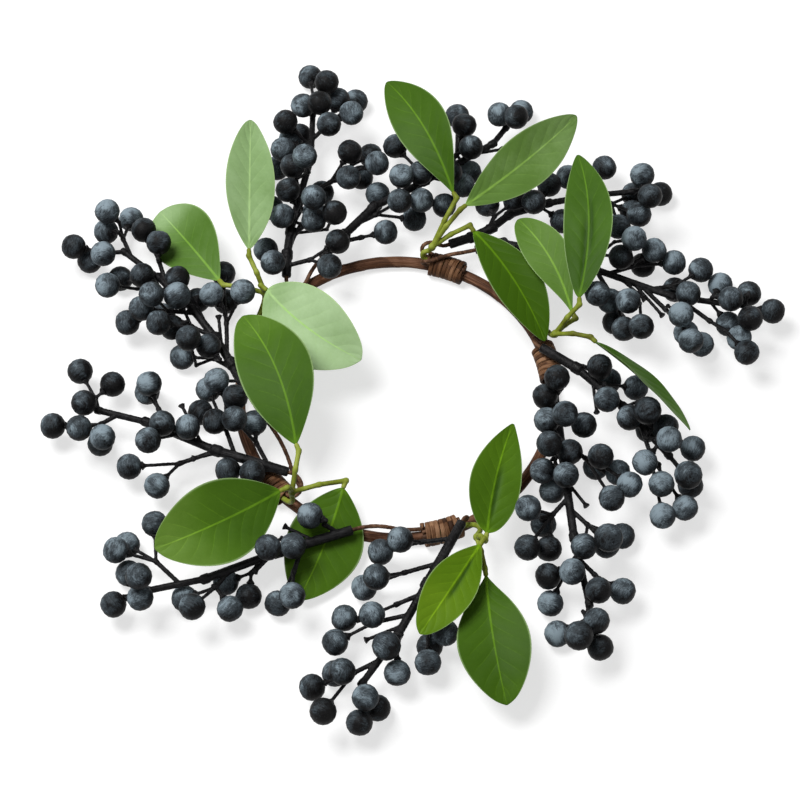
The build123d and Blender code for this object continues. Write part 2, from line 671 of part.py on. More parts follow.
def leaf_point(blade, share, side, lift=0.0):
    """A point of the blade: arched and leaning along its length, and folded up along its midrib."""
    half = leaf_half_width(blade, share)
    bow = blade["length"] * 4.0 * share * (1.0 - share)
    arch = blade["arch"] * leaf_arch_share * bow
    fold = leaf_fold_share * half * abs(side) * (1.0 if blade["arch"] > 0.0 else 0.0)
    return (blade["base"] + blade["axis"] * blade["length"] * share
            + blade["across"] * (half * side + blade["lean"] * bow) + blade["normal"] * (arch + fold + lift))


def leaf_cloud(blade):
    """Points spread over a blade, close enough together to stand for it."""
    rows = int(blade["length"] / (2.0 * sample_spacing)) + 2
    columns = int(blade["width"] / (2.0 * sample_spacing)) + 2
    return np.array([
        leaf_point(blade, share, side)
        for share in np.linspace(0.0, 1.0, rows) for side in np.linspace(-1.0, 1.0, columns)
    ])


def stalk_stations(hub, blade):
    """A leaf's stalk, from the hub of its pick to the base of its blade."""
    start = blade["base"] - blade["axis"] * stalk_lead
    middle = (hub + start) / 2.0 + up * stalk_rise
    return [hub, middle, start, blade["base"]]


def twig_ways(fork, centre):
    """Ways from a fork to a berry, the straight one first and then those that bow out to one side."""
    yield [fork]
    run = unit(centre - fork)
    side = unit(np.cross(run, up) + up * flat_turn_share)
    rise = np.cross(side, run)
    for bow in twig_bows:
        for part in bow_part_shares:
            middle = fork + (centre - fork) * part
            for turn in range(8):
                angle = math.radians(45.0 * turn)
                yield [fork, middle + (rise * math.cos(angle) + side * math.sin(angle)) * bow]


def past_fork(points, fork):
    """The points of a twig that have left its fork, or the last of them."""
    left = points[np.linalg.norm(points - fork, axis=1) > fork_clearance]
    return left if len(left) else points[-1:]


def fit_twig(taken, spray_number, fork, centre, radius):
    """The first clear way for a twig to a berry, which ends in a cup on the berry's flat."""
    seat_reach = math.sqrt(radius ** 2 - cup_radius ** 2)
    for stops in twig_ways(fork, centre):
        toward = unit(centre - stops[-1])
        seat = centre - toward * seat_reach
        if (seat - stops[-1]).dot(toward) < cup_length:
            continue
        if len(stops) == 2:
            first = along(stops[0], stops[1])
            if np.linalg.norm(first - centre, axis=1).min() < radius + twig_radius + berry_gap:
                continue
            if taken.gap(first, twig_radius, spray_number) < berry_gap:
                continue
            if taken.gap(past_fork(first, fork), twig_radius) < winding_clearance:
                continue
        cup_start = seat - toward * cup_length
        straight = along(stops[-1], cup_start)
        if straight[:, 2].min() < twig_radius + table_gap:
            continue
        if taken.gap(straight, twig_radius, spray_number) < berry_gap:
            continue
        if taken.gap(past_fork(straight, fork), twig_radius) < winding_clearance:
            continue
        if taken.gap(along(cup_start, seat), cup_radius, spray_number) < table_gap / 4.0:
            continue
        return stops + [cup_start, seat]
    return None


def fit_berry(taken, number, fork, place, level):
    """A berry's centre and twig: at its level's height, or as little off it as finds clear room."""
    radius = berry_radii[level]
    start = start_heights[level]
    offsets = np.arange(0.0, highest_berry, lift_step)
    rises = [start + offset for offset in offsets if start + offset < highest_berry]
    drops = [start - offset for offset in offsets if start - offset > radius + table_gap]
    nearby = taken.near(place(start), highest_berry)
    for height in rises + drops:
        centre = place(height)
        if nearby.gap(centre, radius) < berry_gap:
            continue
        twig = fit_twig(nearby, number, fork, centre, radius)
        if twig:
            return centre, radius, twig
    return None


def lay_out():
    """Places every route, blade and berry, each clear of those before it."""
    taken = Space()
    for degree in range(0, 360, 2):
        taken.take(ring_point(degree), wrap_radius)
    for bearing in binding_bearings:
        first, last = binding_end(bearing, -1)[0], binding_end(bearing, 1)[0]
        for place in np.linspace(first, last, winding_turns):
            taken.take(ring_point(place, 0.0, winding_height), winding_radius + winding_wire_radius)
    layout = dict(tails={}, stems={}, blades={}, pick_routes={}, stalks={}, berries=[], branches=[], stubs=[])
    for number, pick in picks.items():
        across, above, height = pick["hub_shares"]
        hub = seen_at(across * ring_radius, above * ring_radius, height * leaf_height)
        bound = bound_stations(pick["binding"], pick["end"], pick["slot"], tail_radius)
        layout["pick_routes"][number] = arc_route(bound + [(hub, unit(hub - bound[-1][0]) + up)])
        taken.take(route_points(layout["pick_routes"][number]), tail_radius)
        for letter, leaf in pick["leaf_shares"].items():
            blade = leaf_blade(leaf)
            layout["blades"][f"{number}{letter}"] = blade
            layout["stalks"][f"{number}{letter}"] = stalk_stations(hub, blade)
            taken.take(leaf_cloud(blade), leaf_thickness)
            stops = layout["stalks"][f"{number}{letter}"]
            for start, end in zip(stops, stops[1:]):
                taken.take(along(start, end), stalk_radius)
    for number, spray in sprays.items():
        stations = main_stem(spray)
        bound = bound_stations(spray["binding"], spray["end"], spray["slot"], tail_radius)
        heading = unit(stations[1][1] - stations[0][1])
        vias = []
        for across, above, height, bearing in spray.get("via_shares", ()):
            point = seen_at(across * ring_radius, above * ring_radius, height * stem_height)
            vias.append((point, way(bearing)))
        root = stations[0][1]
        route = arc_route(bound + vias + [(root - heading * root_lead, heading)])
        route.append(Line(tuple(root - heading * root_lead), tuple(root)))
        layout["tails"][number] = (route, heading)
        layout["stems"][number] = stations
        taken.take(route_points(route), tail_radius, number)
        for (_, start, start_radius), (_, end, end_radius) in zip(stations, stations[1:]):
            points = along(start, end)
            radii = np.linspace(start_radius, end_radius, len(points))
            report_gap(f"stem {number}", taken, points, start_radius, number)
            taken.take(points, radii, number)
            taken.take(end, start_radius * knuckle_reach_share, number)
    waiting = []
    for number, spray in sprays.items():
        stations = layout["stems"][number]
        for leave, berries in spray["bunch_shares"]:
            start, _ = on_stem(stations, leave)
            mean = np.mean([
                spray_place(spray, berry[0], berry[1], start_heights[berry[2]]) for berry in berries
            ], axis=0)
            fork = start + (mean - start) * fork_share
            layout["branches"].append((number, start, fork))
            report_gap(f"branch {number}, {leave}", taken, along(start, fork), branch_radius, number)
            taken.take(along(start, fork), branch_radius, number)
            taken.take(fork, branch_radius * knuckle_reach_share, number)
            waiting += [(berry[2], number, fork, berry) for berry in berries]
        for leave, (share_along, share_across) in spray["stub_shares"]:
            start, _ = on_stem(stations, leave)
            end = spray_place(spray, share_along, share_across, stem_height)
            layout["stubs"].append((number, start, end))
            taken.take(along(start, end), cup_radius, number)
    for wanted in (("low",), ("middle",), ("top", "big")):
        for level, number, fork, berry in waiting:
            if level not in wanted:
                continue
            spray = sprays[number]
            found = fit_berry(
                taken, number, fork, lambda height: spray_place(spray, berry[0], berry[1], height), level)
            if found is None:
                print("no room for berry", number, berry)
                continue
            centre, radius, twig = found
            layout["berries"].append((number, centre, radius, twig))
            taken.take(centre, radius, number + berry_owner_offset)
            for start, end in zip(twig[:-2], twig[1:-1]):
                taken.take(along(start, end), twig_radius, number)
            taken.take(along(twig[-2], twig[-1]), cup_radius, number)
    return layout


def report_gap(name, taken, points, radius, number):
    """Prints the name of a route that comes too close to another piece."""
    least = taken.gap(points, radius, number)
    if least < winding_clearance:
        print("close:", name, round(least, 2))


# The solids

def build_binding(number, bearing):
    edges = arc_route(winding_stations(bearing))
    least = winding_gap(route_points(edges))
    print(f"binding {number}: least gap between turns {least:.2f}, tightest bend {tightest(edges):.2f}")
    winding = tube(edges, winding_wire_radius)
    below = Pos(0, 0, -winding_radius) * Box(
        4.0 * ring_radius, 4.0 * ring_radius, 2.0 * winding_radius)
    return winding - below


def build_stem(number, layout):
    """A moulded stem with its branches, twigs, cups and bare stubs, as one solid."""
    stations = layout["stems"][number]
    parts = [bar(stations[0][1], stations[1][1], stations[0][2])]
    for (_, start, radius), (_, end, _) in zip(stations[1:], stations[2:]):
        parts.append(inner_bar(start, end, radius))
    for (_, start, radius), (_, end, _) in zip(stations, stations[1:]):
        parts.append(knuckle(start, end, radius))
    for owner, start, fork in layout["branches"]:
        if owner == number:
            parts += [bar(start, fork, branch_radius), knuckle(start, fork, branch_radius)]
    for owner, _, _, twig in layout["berries"]:
        if owner == number:
            parts += twig_parts(twig)
    for owner, start, end in layout["stubs"]:
        if owner == number:
            parts.append(cup_bar(start, end))
    solid = parts[0].fuse(*parts[1:])
    if not solid.is_valid or len(solid.solids()) != 1:
        print("stem", number, "is not one valid solid")
    heading = layout["tails"][number][1]
    root = stations[0][1]
    socket = bar(root - heading * socket_clearance, root + heading * (socket_depth + socket_clearance),
                 tail_radius + socket_clearance)
    return solid - socket


def twig_parts(twig):
    """The bars of a twig, with a knuckle at each bend and a flared cup at its end."""
    stops = twig[:-2]
    parts = []
    for start, end in zip(stops, stops[1:]):
        parts += [inner_bar(start, end, twig_radius), knuckle(start, end, twig_radius)]
    return parts + [cup_bar(stops[-1], twig[-1])]


def build_berry(centre, radius, twig):
    """A round berry with a small flat where its twig's cup holds it."""
    flat_angle = math.degrees(math.acos(cup_radius / radius))
    return plane_at(centre, twig[-1] - centre) * Sphere(radius, -90, flat_angle, align=None)


def build_leaf(blade):
    """A thin blade, lofted through sections across it."""
    sections = []
    for share in leaf_station_shares:
        edge = leaf_edge_thickness / 2.0
        middle = leaf_thickness / 2.0
        corners = [
            leaf_point(blade, share, -1.0, edge), leaf_point(blade, share, 0.0, middle),
            leaf_point(blade, share, 1.0, edge), leaf_point(blade, share, 1.0, -edge),
            leaf_point(blade, share, 0.0, -middle), leaf_point(blade, share, -1.0, -edge),
        ]
        sections.append(make_face(Polyline(*[tuple(corner) for corner in corners], close=True)))
    return loft(sections, ruled=True)


def build_pick(number, layout):
    """The stem and three stalks of a leaf pick, as one solid."""
    parts = [tube(layout["pick_routes"][number], tail_radius)]
    hub = None
    for name, stops in layout["stalks"].items():
        if name.startswith(str(number)):
            hub = stops[0]
            for start, end in zip(stops[:-2], stops[1:]):
                parts += [inner_bar(start, end, stalk_radius), knuckle(start, end, stalk_radius)]
            parts.append(bar(stops[-2], stops[-1], stalk_radius))
    parts.append(knuckle(hub - up * pick_radius, hub, pick_radius))
    return parts[0].fuse(*parts[1:])


def save(name, shape):
    """Writes one node's solids to its own file."""
    solids = shape.solids() if hasattr(shape, "solids") else [s for part in shape for s in part.solids()]
    node = Compound(label=name, children=list(solids))
    export_step(node, f"parts/{name}.step")


def main():
    os.makedirs("parts", exist_ok=True)
    layout = lay_out()
    print("berries:", len(layout["berries"]), "highest:", round(max(b[1][2] for b in layout["berries"]), 1))
    ring_place = Pos(0, 0, ring_height)
    save("ring_wire", ring_place * Torus(ring_radius, core_radius))
    tape = Torus(ring_radius, wrap_radius) - Torus(ring_radius, core_radius + core_clearance)
    save("ring_tape", ring_place * tape)
    for number, bearing in enumerate(binding_bearings, start=1):
        save(f"binding_{number}", build_binding(number, bearing))
    for number in sprays:
        route, heading = layout["tails"][number]
        print(f"stem end {number}: tightest bend {tightest(route):.2f}")
        root = layout["stems"][number][0][1]
        end = tube(route + [Line(tuple(root), tuple(root + heading * socket_depth))], tail_radius)
        save(f"stem_end_{number}", end)
        save(f"berry_stem_{number}", build_stem(number, layout))
        berries = [build_berry(centre, radius, twig) for owner, centre, radius, twig in layout["berries"]
                   if owner == number]
        save(f"berries_{number}", ShapeList(berries))
    for number in picks:
        print(f"leaf stem {number}: tightest bend {tightest(layout['pick_routes'][number]):.2f}")
        save(f"leaf_stem_{number}", build_pick(number, layout))
    for name, blade in layout["blades"].items():
        save(f"leaf_{name}", build_leaf(blade))


main()
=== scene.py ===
import json
import math

import bmesh
import bpy
import numpy as np
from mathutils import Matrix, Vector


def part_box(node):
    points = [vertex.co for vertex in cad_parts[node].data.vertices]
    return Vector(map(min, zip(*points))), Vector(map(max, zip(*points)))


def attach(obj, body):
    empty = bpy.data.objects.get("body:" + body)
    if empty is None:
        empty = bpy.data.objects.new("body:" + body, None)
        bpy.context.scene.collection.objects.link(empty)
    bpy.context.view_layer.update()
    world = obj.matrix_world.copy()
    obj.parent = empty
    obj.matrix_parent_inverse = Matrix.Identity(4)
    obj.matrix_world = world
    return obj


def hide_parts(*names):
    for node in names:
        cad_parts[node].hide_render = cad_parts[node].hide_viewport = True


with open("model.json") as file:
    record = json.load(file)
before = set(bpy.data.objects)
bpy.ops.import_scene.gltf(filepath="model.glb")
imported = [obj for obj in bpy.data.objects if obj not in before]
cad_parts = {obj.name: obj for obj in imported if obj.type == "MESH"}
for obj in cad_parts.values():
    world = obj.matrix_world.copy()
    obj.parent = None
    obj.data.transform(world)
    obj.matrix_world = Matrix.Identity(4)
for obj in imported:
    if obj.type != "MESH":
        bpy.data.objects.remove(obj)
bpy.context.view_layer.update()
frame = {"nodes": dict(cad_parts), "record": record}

# A candle ring: sprays of dark berries and picks of green leaves, bound on a paper-wrapped wire ring.
# Lengths are in metres. Sizes and places are read from the frame, and the looks are worked out here.

mm = 0.001
nodes = frame["nodes"]
slotNames = {row["node"]: row["material_slot"] for row in frame["record"]["subparts"]}
sprayCount = sum(name.startswith("berries_") for name in nodes)
bindingNames = sorted(name for name in nodes if name.startswith("binding_"))
leafNames = sorted(name for name in nodes if name.startswith("leaf_") and not name.startswith("leaf_stem"))
pickCount = sum(name.startswith("leaf_stem_") for name in nodes)


# Numbers on whole arrays

def unit(vectors):
    return vectors / np.linalg.norm(vectors, axis=-1, keepdims=True)


def waves(points, size, seed, count=9):  # mean of plane sine waves in random directions: a smooth noise
    draw = np.random.default_rng(seed)
    ways = unit(draw.normal(size=(count, 3))) * draw.uniform(0.6, 1.5, (count, 1)) * 2 * math.pi / size
    return np.sin(points @ ways.T + draw.uniform(0, 2 * math.pi, count)).mean(axis=-1) * 2


def smoothStep(low, high, values):  # 0 below low, 1 above high, and a smooth rise between them
    part = np.clip((values - low) / (high - low), 0, 1)
    return part * part * (3 - 2 * part)


def smoothTrack(marks, values, places):  # cubic pieces through the values at the marks, with no kink
    count = len(marks)
    gaps = np.diff(marks)
    inner = np.arange(1, count - 1)
    system = np.eye(count)
    system[inner, inner - 1] = gaps[:-1]
    system[inner, inner] = 2 * (gaps[:-1] + gaps[1:])
    system[inner, inner + 1] = gaps[1:]
    slopes = np.diff(values, axis=0) / gaps[:, None]
    wanted = np.zeros_like(values)
    wanted[inner] = 6 * np.diff(slopes, axis=0)
    bends = np.linalg.solve(system, wanted)
    spot = np.clip(np.searchsorted(marks, places) - 1, 0, count - 2)
    step = (places - marks[spot])[:, None]
    gap = gaps[spot][:, None]
    start, end = bends[spot], bends[spot + 1]
    return (values[spot] + step * (slopes[spot] - gap * (2 * start + end) / 6)
            + step ** 2 * start / 2 + step ** 3 * (end - start) / (6 * gap))


def gridFaces(rows, columns, closedRows=False):  # quads of a grid whose columns close on themselves
    rowStarts = np.arange(rows if closedRows else rows - 1)[:, None]
    here = np.arange(columns)[None, :]
    beside = (here + 1) % columns
    nextStarts = (rowStarts + 1) % rows * columns
    quads = np.stack((rowStarts * columns + here, rowStarts * columns + beside,
                      nextStarts + beside, nextStarts + here), axis=-1)
    return quads.reshape(-1, 4).tolist()


def readPoints(mesh):
    points = np.empty(len(mesh.vertices) * 3)
    mesh.vertices.foreach_get("co", points)
    return points.reshape(-1, 3)


# Making pieces

def addPiece(name, mesh, finish, *replaced):
    piece = bpy.data.objects.new(name, mesh)
    bpy.context.scene.collection.objects.link(piece)
    mesh.materials.clear()
    mesh.materials.append(finish)
    mesh.polygons.foreach_set("use_smooth", np.ones(len(mesh.polygons), dtype=bool))
    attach(piece, "root")
    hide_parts(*replaced)
    return piece


def surfaceMesh(name, points, faces):
    mesh = bpy.data.meshes.new(name)
    mesh.from_pydata(points.reshape(-1, 3).tolist(), [], faces)
    mesh.update()
    return mesh


def addAttribute(mesh, name, values):  # a vector or a number on each point, for the finish to read
    values = np.asarray(values, dtype=np.float32)
    kind = "FLOAT_VECTOR" if values.ndim > 1 and values.shape[-1] == 3 else "FLOAT"
    layer = mesh.attributes.new(name, kind, "POINT")
    layer.data.foreach_set("vector" if kind == "FLOAT_VECTOR" else "value", values.ravel())


def mergedCopy(nodeName):  # a copy of a CAD node's mesh with its loose triangles joined
    mesh = nodes[nodeName].data.copy()
    work = bmesh.new()
    work.from_mesh(mesh)
    bmesh.ops.remove_doubles(work, verts=work.verts, dist=0.001 * mm)
    work.to_mesh(mesh)
    work.free()
    return mesh


def softCopy(nodeName, voxel, steps):  # a CAD node rebuilt in small even faces, with its joints rounded over
    rough = bpy.data.objects.new(nodeName + "Soft", mergedCopy(nodeName))
    bpy.context.scene.collection.objects.link(rough)
    remesh = rough.modifiers.new("even", "REMESH")
    remesh.mode = "VOXEL"
    remesh.voxel_size = voxel
    smooth = rough.modifiers.new("round", "SMOOTH")
    smooth.iterations = steps
    smooth.factor = 0.5
    mesh = bpy.data.meshes.new_from_object(rough.evaluated_get(bpy.context.evaluated_depsgraph_get()))
    bpy.data.objects.remove(rough)
    return mesh


def swell(mesh, amount):  # moves each point along its normal
    normals = np.empty(len(mesh.vertices) * 3)
    mesh.vertices.foreach_get("normal", normals)
    points = readPoints(mesh) + normals.reshape(-1, 3) * np.reshape(amount, (-1, 1))
    mesh.vertices.foreach_set("co", points.ravel())
    mesh.update()


# Finishes: small helpers for node materials

def newFinish(name):
    material = bpy.data.materials.new(name)
    material.use_nodes = True
    return material, material.node_tree, material.node_tree.nodes["Principled BSDF"]


def addNode(tree, kind, settings=(), **inputs):
    node = tree.nodes.new(kind)
    for key, value in dict(settings).items():
        setattr(node, key, value)
    for key, value in inputs.items():
        socket = node.inputs[int(key[1:])] if key[0] == "i" and key[1:].isdigit() else node.inputs[key]
        if isinstance(value, bpy.types.NodeSocket):
            tree.links.new(value, socket)
        else:
            socket.default_value = value
    return node


def math1(tree, operation, first, second=0.0, clamp=False):
    return addNode(tree, "ShaderNodeMath", {"operation": operation, "use_clamp": clamp},
                   i0=first, i1=second).outputs[0]


def mixed(tree, *parts):  # a sum of values, each times its own weight
    total = None
    for value, weight in parts:
        product = math1(tree, "MULTIPLY", value, weight)
        total = product if total is None else math1(tree, "ADD", total, product)
    return total


def ramp(tree, value, *stops):  # a colour ramp of (place, colour) stops
    node = addNode(tree, "ShaderNodeValToRGB", i0=value)
    elements = node.color_ramp.elements
    while len(elements) < len(stops):
        elements.new(0.5)
    for element, (place, colour) in zip(elements, stops):
        element.position = place
        element.color = (*colour, 1)
    return node.outputs[0]


def level(tree, value, low, high, start=0.0, end=1.0):  # start at low and end at high, with a smooth change
    node = addNode(tree, "ShaderNodeMapRange", {"interpolation_type": "SMOOTHSTEP"},
                   i0=value, i1=low, i2=high, i3=start, i4=end)
    return node.outputs[0]


def blendColours(tree, share, first, second):
    node = tree.nodes.new("ShaderNodeMix")
    node.data_type = "RGBA"
    for socket, value in ((node.inputs[0], share), (node.inputs[6], first), (node.inputs[7], second)):
        if isinstance(value, bpy.types.NodeSocket):
            tree.links.new(value, socket)
        else:
            socket.default_value = (*value, 1) if isinstance(value, tuple) else value
    return node.outputs[2]


def noise(tree, place, scale, detail=3.0, rough=0.55, distortion=0.0):
    return addNode(tree, "ShaderNodeTexNoise", Vector=place, Scale=scale, Detail=detail, Roughness=rough,
                   Distortion=distortion).outputs[0]


def stretched(tree, place, scale):  # a pattern's place, drawn out by a scale of its own along each axis
    return addNode(tree, "ShaderNodeMapping", {"vector_type": "POINT"}, Vector=place, Scale=scale).outputs[0]


def attribute(tree, name):
    return addNode(tree, "ShaderNodeAttribute", {"attribute_name": name})


def objectPlace(tree):
    return tree.nodes.new("ShaderNodeTexCoord").outputs["Object"]


def bump(tree, shader, height, distance, strength=1.0):
    node = addNode(tree, "ShaderNodeBump", Height=height, Distance=distance, Strength=strength)
    tree.links.new(node.outputs[0], shader.inputs["Normal"])


# Stage: pale table, soft light and the camera

stage = {
    "floorSize": 4.0, "floorColour": (0.42, 0.42, 0.42), "floorCameraGlow": 0.66,
    "skyLight": 0.2, "keyPower": 18.5, "keySize": 0.6, "keyPlace": (-0.5, 0.2, 1.2),
    "fillPower": 0.8, "fillSize": 1.0, "fillPlace": (0.8, -0.7, 0.9),
    "sightElevation": 62.0, "sightDistance": 1.15, "viewWidth": 0.32, "imageWidth": 800,
    "centrePixel": (396.5, 400.5),
}


def sightDirection():  # from the middle of the ring to the camera
    angle = math.radians(stage["sightElevation"])
    return np.array([0, -math.cos(angle), math.sin(angle)])


def seenStraight(tree):  # 1 for what the camera, glossy surfaces and clear ones see
    rays = tree.nodes.new("ShaderNodeLightPath")
    seen = math1(tree, "ADD", rays.outputs["Is Camera Ray"], rays.outputs["Is Glossy Ray"])
    return math1(tree, "ADD", seen, rays.outputs["Is Transmission Ray"], clamp=True)


def makeStage():
    half = stage["floorSize"] / 2
    corners = np.array([[-half, -half, 0], [half, -half, 0], [half, half, 0], [-half, half, 0]])
    floor = bpy.data.objects.new("table", surfaceMesh("table", corners, [[0, 1, 2, 3]]))
    bpy.context.scene.collection.objects.link(floor)
    material, tree, shader = newFinish("palePaint")
    shader.inputs["Base Color"].default_value = (*stage["floorColour"], 1)
    shader.inputs["Roughness"].default_value = 0.9
    shader.inputs["Specular IOR Level"].default_value = 0.1
    glow = math1(tree, "MULTIPLY", seenStraight(tree), stage["floorCameraGlow"])
    tree.links.new(glow, shader.inputs["Emission Strength"])
    shader.inputs["Emission Color"].default_value = (1, 1, 1, 1)
    floor.data.materials.append(material)

    world = bpy.data.worlds.new("studio")
    world.use_nodes = True
    tree = world.node_tree
    strength = math1(tree, "MULTIPLY_ADD", seenStraight(tree), 1.0 - stage["skyLight"])
    strength.node.inputs[2].default_value = stage["skyLight"]
    background = tree.nodes["Background"]
    background.inputs["Color"].default_value = (1, 1, 1, 1)
    tree.links.new(strength, background.inputs["Strength"])
    bpy.context.scene.world = world

    for name in ("key", "fill"):
        lamp = bpy.data.lights.new(name + "Lamp", "AREA")
        lamp.energy = stage[name + "Power"]
        lamp.size = stage[name + "Size"]
        light = bpy.data.objects.new(name + "Lamp", lamp)
        light.location = stage[name + "Place"]
        light.rotation_euler = (-light.location).to_track_quat("-Z", "Y").to_euler()
        bpy.context.scene.collection.objects.link(light)

    lens = bpy.data.cameras.new("camera")
    camera = bpy.data.objects.new("camera", lens)
    camera.location = sightDirection() * stage["sightDistance"]
    camera.rotation_euler = (-camera.location).to_track_quat("-Z", "Y").to_euler()
    lens.sensor_fit = "HORIZONTAL"
    lens.angle = 2 * math.atan(stage["viewWidth"] / 2 / stage["sightDistance"])
    middle = stage["imageWidth"] / 2
    lens.shift_x = (middle - stage["centrePixel"][0]) / stage["imageWidth"]
    lens.shift_y = (stage["centrePixel"][1] - middle) / stage["imageWidth"]
    bpy.context.scene.collection.objects.link(camera)
    bpy.context.scene.camera = camera
    bpy.context.scene.view_settings.view_transform = "Standard"
    print("stage: table, two lamps and the camera")


# Berries: black balls with a rubbed blue-grey bloom

berry = {
    "cells": 4,  # grid cells along each side of the cube that is blown up to a ball
    "patchScale": 0.9, "strokeScale": 1.6, "strokeStretch": (1.2, 1.2, 5.5), "speckScale": 8.0,
    "thinCover": (1.42, 1.74), "thickCover": (1.7, 2.08), "rubbedCover": (1.4, 1.9),  # begins, and is full
    "lumps": 0.012, "lumpSize": 1.6, "dimple": 0.05, "dimpleReach": 0.25, "flatRadius": 1.45 * mm,
    "black": (0.0024, 0.0023, 0.0026), "soot": (0.009, 0.0087, 0.009), "slate": (0.043, 0.053, 0.061),
    "bloom": (0.235, 0.295, 0.335), "roughness": 0.46, "bloomRoughness": 0.65,
    "bloomShares": (0.56, 0.5, 0.46, 0.52, 0.58, 0.66, 0.55, 0.52, 0.72, 0.54),  # each spray in turn
    "bloomSpread": 0.34, "litSide": (-0.5, 0.25, 0.85), "litSideShare": 0.7,  # painted light: more pale bloom on the side that faces the key lamp
}


def berrySkin():
    material, tree, shader = newFinish("berrySkin")
    local = attribute(tree, "skinPlace").outputs["Vector"]  # place on a unit ball, with z at the flower end
    drawn = attribute(tree, "skinDraw").outputs["Vector"]  # each berry's own part of the pattern
    # each berry's bloom share, plus painted light that puts more bloom on the side facing the key lamp
    amount = attribute(tree, "bloomAndLitSide").outputs["Fac"]
    place = addNode(tree, "ShaderNodeVectorMath", {"operation": "ADD"}, i0=local, i1=drawn).outputs[0]
    patches = noise(tree, place, berry["patchScale"], 2.0, 0.5, 0.3)
    strokes = noise(tree, stretched(tree, place, berry["strokeStretch"]), berry["strokeScale"], 7.0, 0.8, 1.6)
    specks = noise(tree, place, berry["speckScale"], 4.0, 0.7, 0.3)
    cover = mixed(tree, (patches, 1.1), (strokes, 1.25), (specks, 0.25), (amount, 0.4))
    thin = level(tree, cover, *berry["thinCover"])
    thick = level(tree, cover, *berry["thickCover"])
    ground = blendColours(tree, level(tree, specks, 0.35, 0.7), berry["black"], berry["soot"])
    colour = blendColours(tree, thin, ground, berry["slate"])
    colour = blendColours(tree, thick, colour, berry["bloom"])
    # The flower end is a dark pit.
    height = addNode(tree, "ShaderNodeSeparateXYZ", Vector=local).outputs[2]
    height = math1(tree, "ADD", height, math1(tree, "MULTIPLY", specks, 0.03))
    colour = blendColours(tree, level(tree, height, 0.985, 1.0, 0.0, 0.8), colour, berry["black"])
    tree.links.new(colour, shader.inputs["Base Color"])
    rough = level(tree, cover, *berry["rubbedCover"], berry["roughness"], berry["bloomRoughness"])
    tree.links.new(rough, shader.inputs["Roughness"])
    shader.inputs["Specular IOR Level"].default_value = 0.08
    bump(tree, shader, mixed(tree, (strokes, 1.0), (specks, 0.5)), 0.14 * mm, 0.6)
    return material


def ballGrid(cells):
    # A cube's six sides, each a grid of two parameters a and b from -1 to 1, with tan(a pi/4) and
    # tan(b pi/4) as the place on the side so that the cells come out even, blown up to a unit ball.
    marks = np.tan(np.linspace(-1, 1, cells + 1) * math.pi / 4)
    across, upward = np.meshgrid(marks, marks, indexing="ij")
    front = np.ones_like(across)
    sides = []
    for axis in range(3):
        for sign in (1, -1):
            side = np.stack((front * sign, across * sign, upward), axis=-1)
            sides.append(np.roll(side, axis, axis=-1))
    points = unit(np.array(sides).reshape(-1, 3))
    corner = np.arange(cells)[:, None] * (cells + 1) + np.arange(cells)[None, :]
    quad = np.stack((corner, corner + cells + 1, corner + cells + 2, corner + 1), axis=-1).reshape(-1, 4)
    faces = (quad[None] + np.arange(6)[:, None, None] * (cells + 1) ** 2).reshape(-1, 4)
    shared, place = np.unique(np.round(points, 6), axis=0, return_inverse=True)
    return unit(shared), place.reshape(-1)[faces]


def readBerries(nodeName):  # each solid's centre and radius, and the direction of its flat
    mesh = mergedCopy(nodeName)
    points = readPoints(mesh)
    corners = np.empty(len(mesh.loops), dtype=int)
    mesh.loops.foreach_get("vertex_index", corners)
    triangles = corners.reshape(-1, 3)
    labels = np.arange(len(points))
    while True:  # each solid takes the lowest label among its joined points
        spread = labels.copy()
        np.minimum.at(spread, triangles.ravel(), np.repeat(labels[triangles].min(axis=1), 3))
        if (spread == labels).all():
            break
        labels = spread
    centres, radii, flats = [], [], []
    for label in np.unique(labels[triangles]):
        own = points[labels == label]
        system = np.column_stack((2 * own, np.ones(len(own))))
        found = np.linalg.lstsq(system, (own ** 2).sum(axis=1), rcond=None)[0]
        centre = found[:3]
        centres.append(centre)
        radii.append(math.sqrt(found[3] + centre @ centre))
        middles = points[triangles[labels[triangles[:, 0]] == label]].mean(axis=1) - centre
        flats.append(middles[np.linalg.norm(middles, axis=1).argmin()])
    bpy.data.meshes.remove(mesh)
    return np.array(centres), np.array(radii), unit(np.array(flats))


def turnedTo(ends, draw):  # for each end direction, three square directions of which it is the last
    first = unit(np.cross(ends, unit(draw.normal(size=ends.shape))))
    return np.stack((first, np.cross(ends, first), ends), axis=1)


